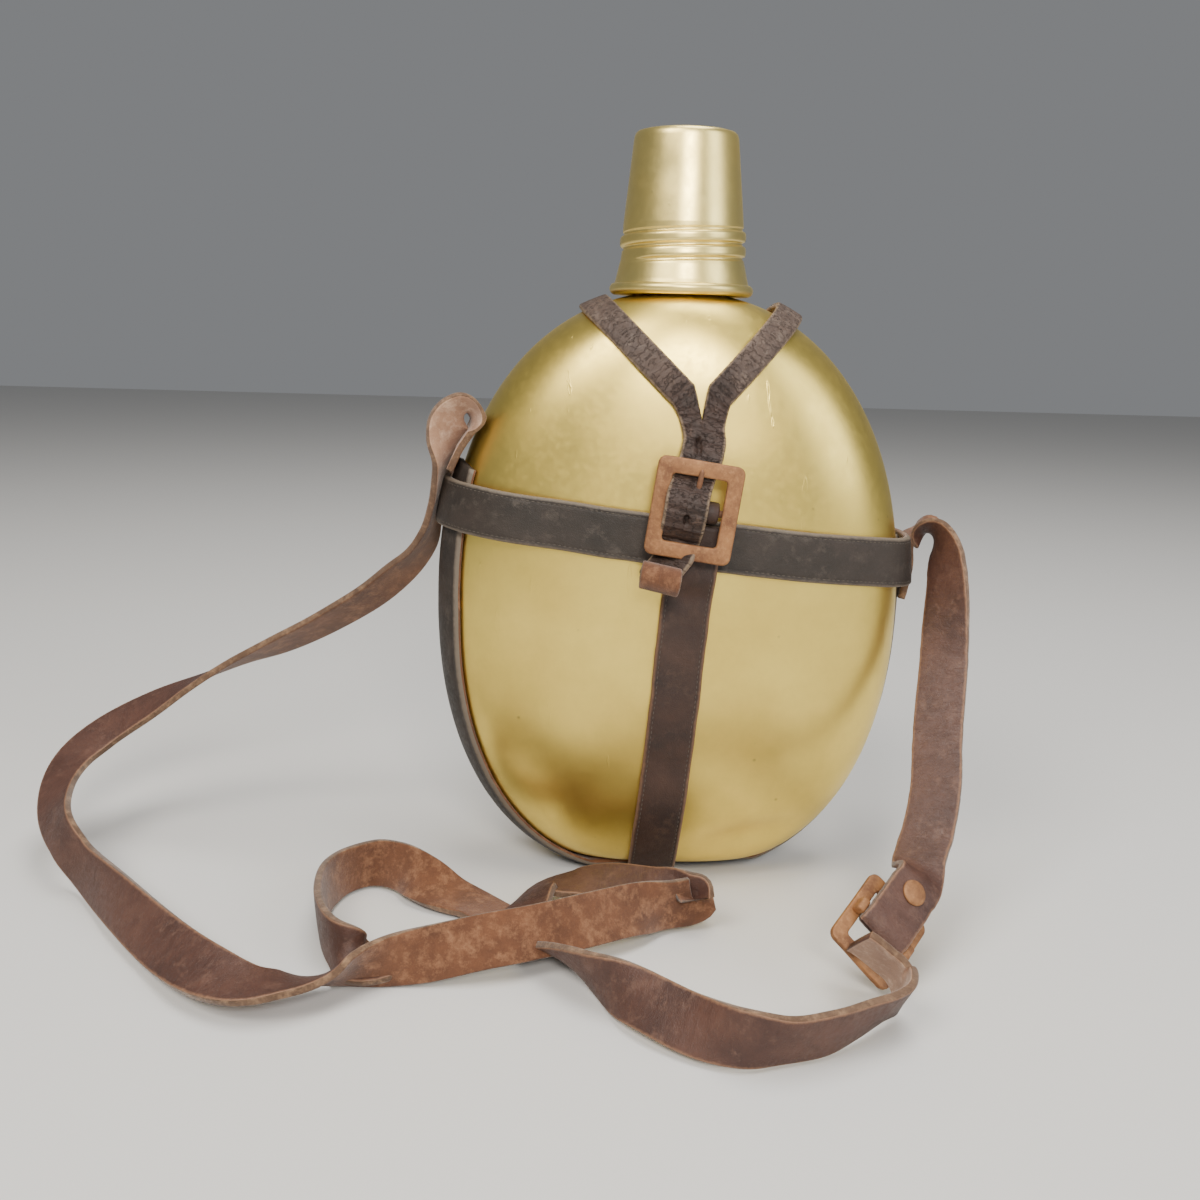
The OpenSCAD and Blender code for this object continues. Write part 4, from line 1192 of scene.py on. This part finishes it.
def make_buckle(prefix, place, s, prong_body, nodes, seed):
    """Frame, lugs, bar and prong of a buckle of size s; nodes names the frame, bar, prong."""
    w, h, rim = BUCKLE_W * s, BUCKLE_H * s, BUCKLE_RIM * s
    t = BUCKLE_T / 2
    rows = [
        (-0.5, -t), (-0.12, -t + 0.1), (0, -t + 0.45), (0, t - 0.35), (-0.15, t - 0.08), (-0.5, t),
    ]
    loops = [flat_loop(w + 2 * i, h + 2 * i, 2.4, y) for i, y in rows]
    loops += [flat_loop(w - 2 * rim - 2 * i, h - 2 * rim - 2 * i, 1.1, y) for i, y in rows[::-1]]
    grid = np.stack(loops, 1)
    local = np.random.default_rng(seed)
    warp = 0.12 * np.sin(grid[..., 0] * 0.31 + local.random() * 6)
    warp += 0.1 * np.sin(grid[..., 2] * 0.27 + local.random() * 6)
    grid[..., 1] += warp
    obj = grid_mesh(prefix + "_plate", place(grid), True, materials=(RUST,))
    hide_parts(nodes[0])
    for side in (-1, 1):
        cx = side * (w / 2 - rim / 2 - 0.2)
        lug = []
        stations = ((-0.05, 0.0), (0.4, 0.0), (2.6, 0.0), (3.0, -0.25), (3.2, -0.7))
        for y, grow in ((t + back, grow) for back, grow in stations):
            loop = rounded_rect(2.6 + 2 * grow, 4.4 + 2 * grow, 0.6, 3, 3)
            lug.append(np.column_stack([loop[:, 0] + cx, np.full(len(loop), y), loop[:, 1]]))
        name = f"{prefix}_lug_{'right' if side > 0 else 'left'}"
        ear = grid_mesh(name, place(np.stack(lug)), False, materials=(RUST,))
    half = (w - rim + 1.6) / 2
    left_end = [(-half, 0.7), (-half + 0.15, 1.0), (-half + 0.4, BAR_R)]
    bar = []
    a = circle(20)
    for x, r in left_end + [(-x, r) for x, r in left_end[::-1]]:
        bar.append(np.column_stack([np.full(20, x), BAR_Y + r * np.cos(a), r * np.sin(a)]))
    obj = grid_mesh(prefix + "_pin", place(np.stack(bar)), False, materials=(RUST_DARK,))
    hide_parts(nodes[1])
    reach = h / 2 - rim * 0.45
    front = -t - 0.75 - 1.5  # the prong's middle line where it lies on the frame
    tilt = math.atan2(BAR_Y - front, reach)
    stations = (
        (0.9, 1.05, 0.8), (2.0, 1.0, 0.8), (4.0, 0.92, 0.78), (reach * 0.55, 0.85, 0.75),
        (reach * 0.85, 0.78, 0.7), (reach, 0.7, 0.62), (reach + 0.5, 0.5, 0.45),
        (reach + 0.85, 0.22, 0.2),
    )
    a = circle(16)
    shank = np.stack([
        np.column_stack([rx * np.cos(a), ry * np.sin(a), np.full(16, z)]) for z, rx, ry in stations
    ])
    outline = (
        (-1, 1.3), (-1.0, 1.95), (-0.75, 2.1), (0.75, 2.1), (1.0, 1.95), (1, 1.3),
        (0.8, 1.2), (-0.8, 1.2),
    )
    eye = np.array([
        [(x, r * math.cos(a), r * math.sin(a)) for x, r in outline] for a in circle(28)
    ])

    def tilted(q):
        c, sn = math.cos(tilt), math.sin(tilt)
        y = q[..., 1] * c - q[..., 2] * sn + BAR_Y
        z = q[..., 1] * sn + q[..., 2] * c
        return place(np.stack([q[..., 0], y, z], -1))

    skins = (RUST_DARK,)
    obj = grid_mesh(prefix + "_tongue", tilted(shank), False, materials=skins, body=prong_body)
    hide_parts(nodes[2])
    obj = grid_mesh(prefix + "_tongue_eye", tilted(eye), True, materials=skins, body=prong_body)


def bar_fold(name, place, w, material):
    """The end of a strap folded round a buckle's bar, in two halves beside the prong."""
    inner = BAR_R + 0.15
    mid_r = inner + STRAP_T / 2
    for side in (-1, 1):
        x0, x1 = (PRONG_SLOT, w / 2) if side > 0 else (-w / 2, -PRONG_SLOT)
        middle = (x0 + x1) / 2
        grid = []
        for t in np.radians(range(90, 271, 15)):
            out = np.array([math.cos(t), math.sin(t)])
            q = np.array([BAR_Y, 0]) + out * mid_r
            a_in, a_out = q - out * STRAP_T / 2, q + out * STRAP_T / 2
            near, far = a_in + out * 0.4, a_out - out * 0.5
            grid.append([
                (x0 + 0.25, *a_in), (x0, *near), (x0, *far), (x0 + 0.45, *a_out),
                (middle, *(a_out + out * 0.08)),
                (x1 - 0.45, *a_out), (x1, *far), (x1, *near), (x1 - 0.25, *a_in),
                (middle, *a_in),
            ])
        piece = f"{name}_{'right' if side > 0 else 'left'}"
        obj = grid_mesh(piece, place(np.array(grid)), False, materials=(material,))


for prefix, place, size, seed in (
    ("front", from_front_buckle, 1.0, 5), ("sling", from_sling_buckle, SLING_BUCKLE_SIZE, 6),
):
    nodes = [f"{prefix}_buckle_{part}" for part in ("frame", "bar", "prong")]
    make_buckle(f"{prefix}_buckle", place, size, f"{prefix}_prong", nodes, seed)
bar_fold("front_fold", from_front_buckle, STRAP_W - 0.8, BROWN)
bar_fold("sling_fold", from_sling_buckle, SLING_W - 1.6, GRAIN)


# ---------------------------------------------------------------- rivets
def make_rivet(name, place, centre, r, grip, node):
    """A domed head on each side of the leather; grip is the leather's thickness."""
    dome = (
        (0.05, -0.2), (r * 0.97, -0.2), (r, 0.05), (r * 0.95, 0.4), (r * 0.75, 0.72),
        (r * 0.45, 0.92), (0.05, 1.0),
    )
    a = circle(36)
    for side in (-1, 1):
        base = side * grip / 2
        rows = [
            np.column_stack([q * np.cos(a), np.full(36, base + side * h), q * np.sin(a)])
            for q, h in dome
        ]
        pts = place(np.stack(rows) + np.asarray(centre))
        piece = f"{name}_{'outer' if side < 0 else 'inner'}"
        obj = grid_mesh(piece, pts, False, materials=(RUST,))
        if side < 0 and node:
            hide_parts(node)


make_rivet("sling_rivet_head", from_sling_buckle, (0, 4.6, -13.5), 3.7, 2.5, "sling_rivet")
make_rivet("front_rivet_head", from_front_buckle, (0, 5, -7.6), 2.4, 3.2, "front_rivet")
for name, z, node in (("back_rivet_1", 118.6, "back_rivets"), ("back_rivet_2", 125.6, None)):
    x = UPRIGHT_X + z * math.tan(math.radians(UPRIGHT_LEAN))
    y = float(half_d(np.array(z))) + 4.2
    make_rivet(name, lambda q: q, (x, y, z), 2.6, 5.6, node)
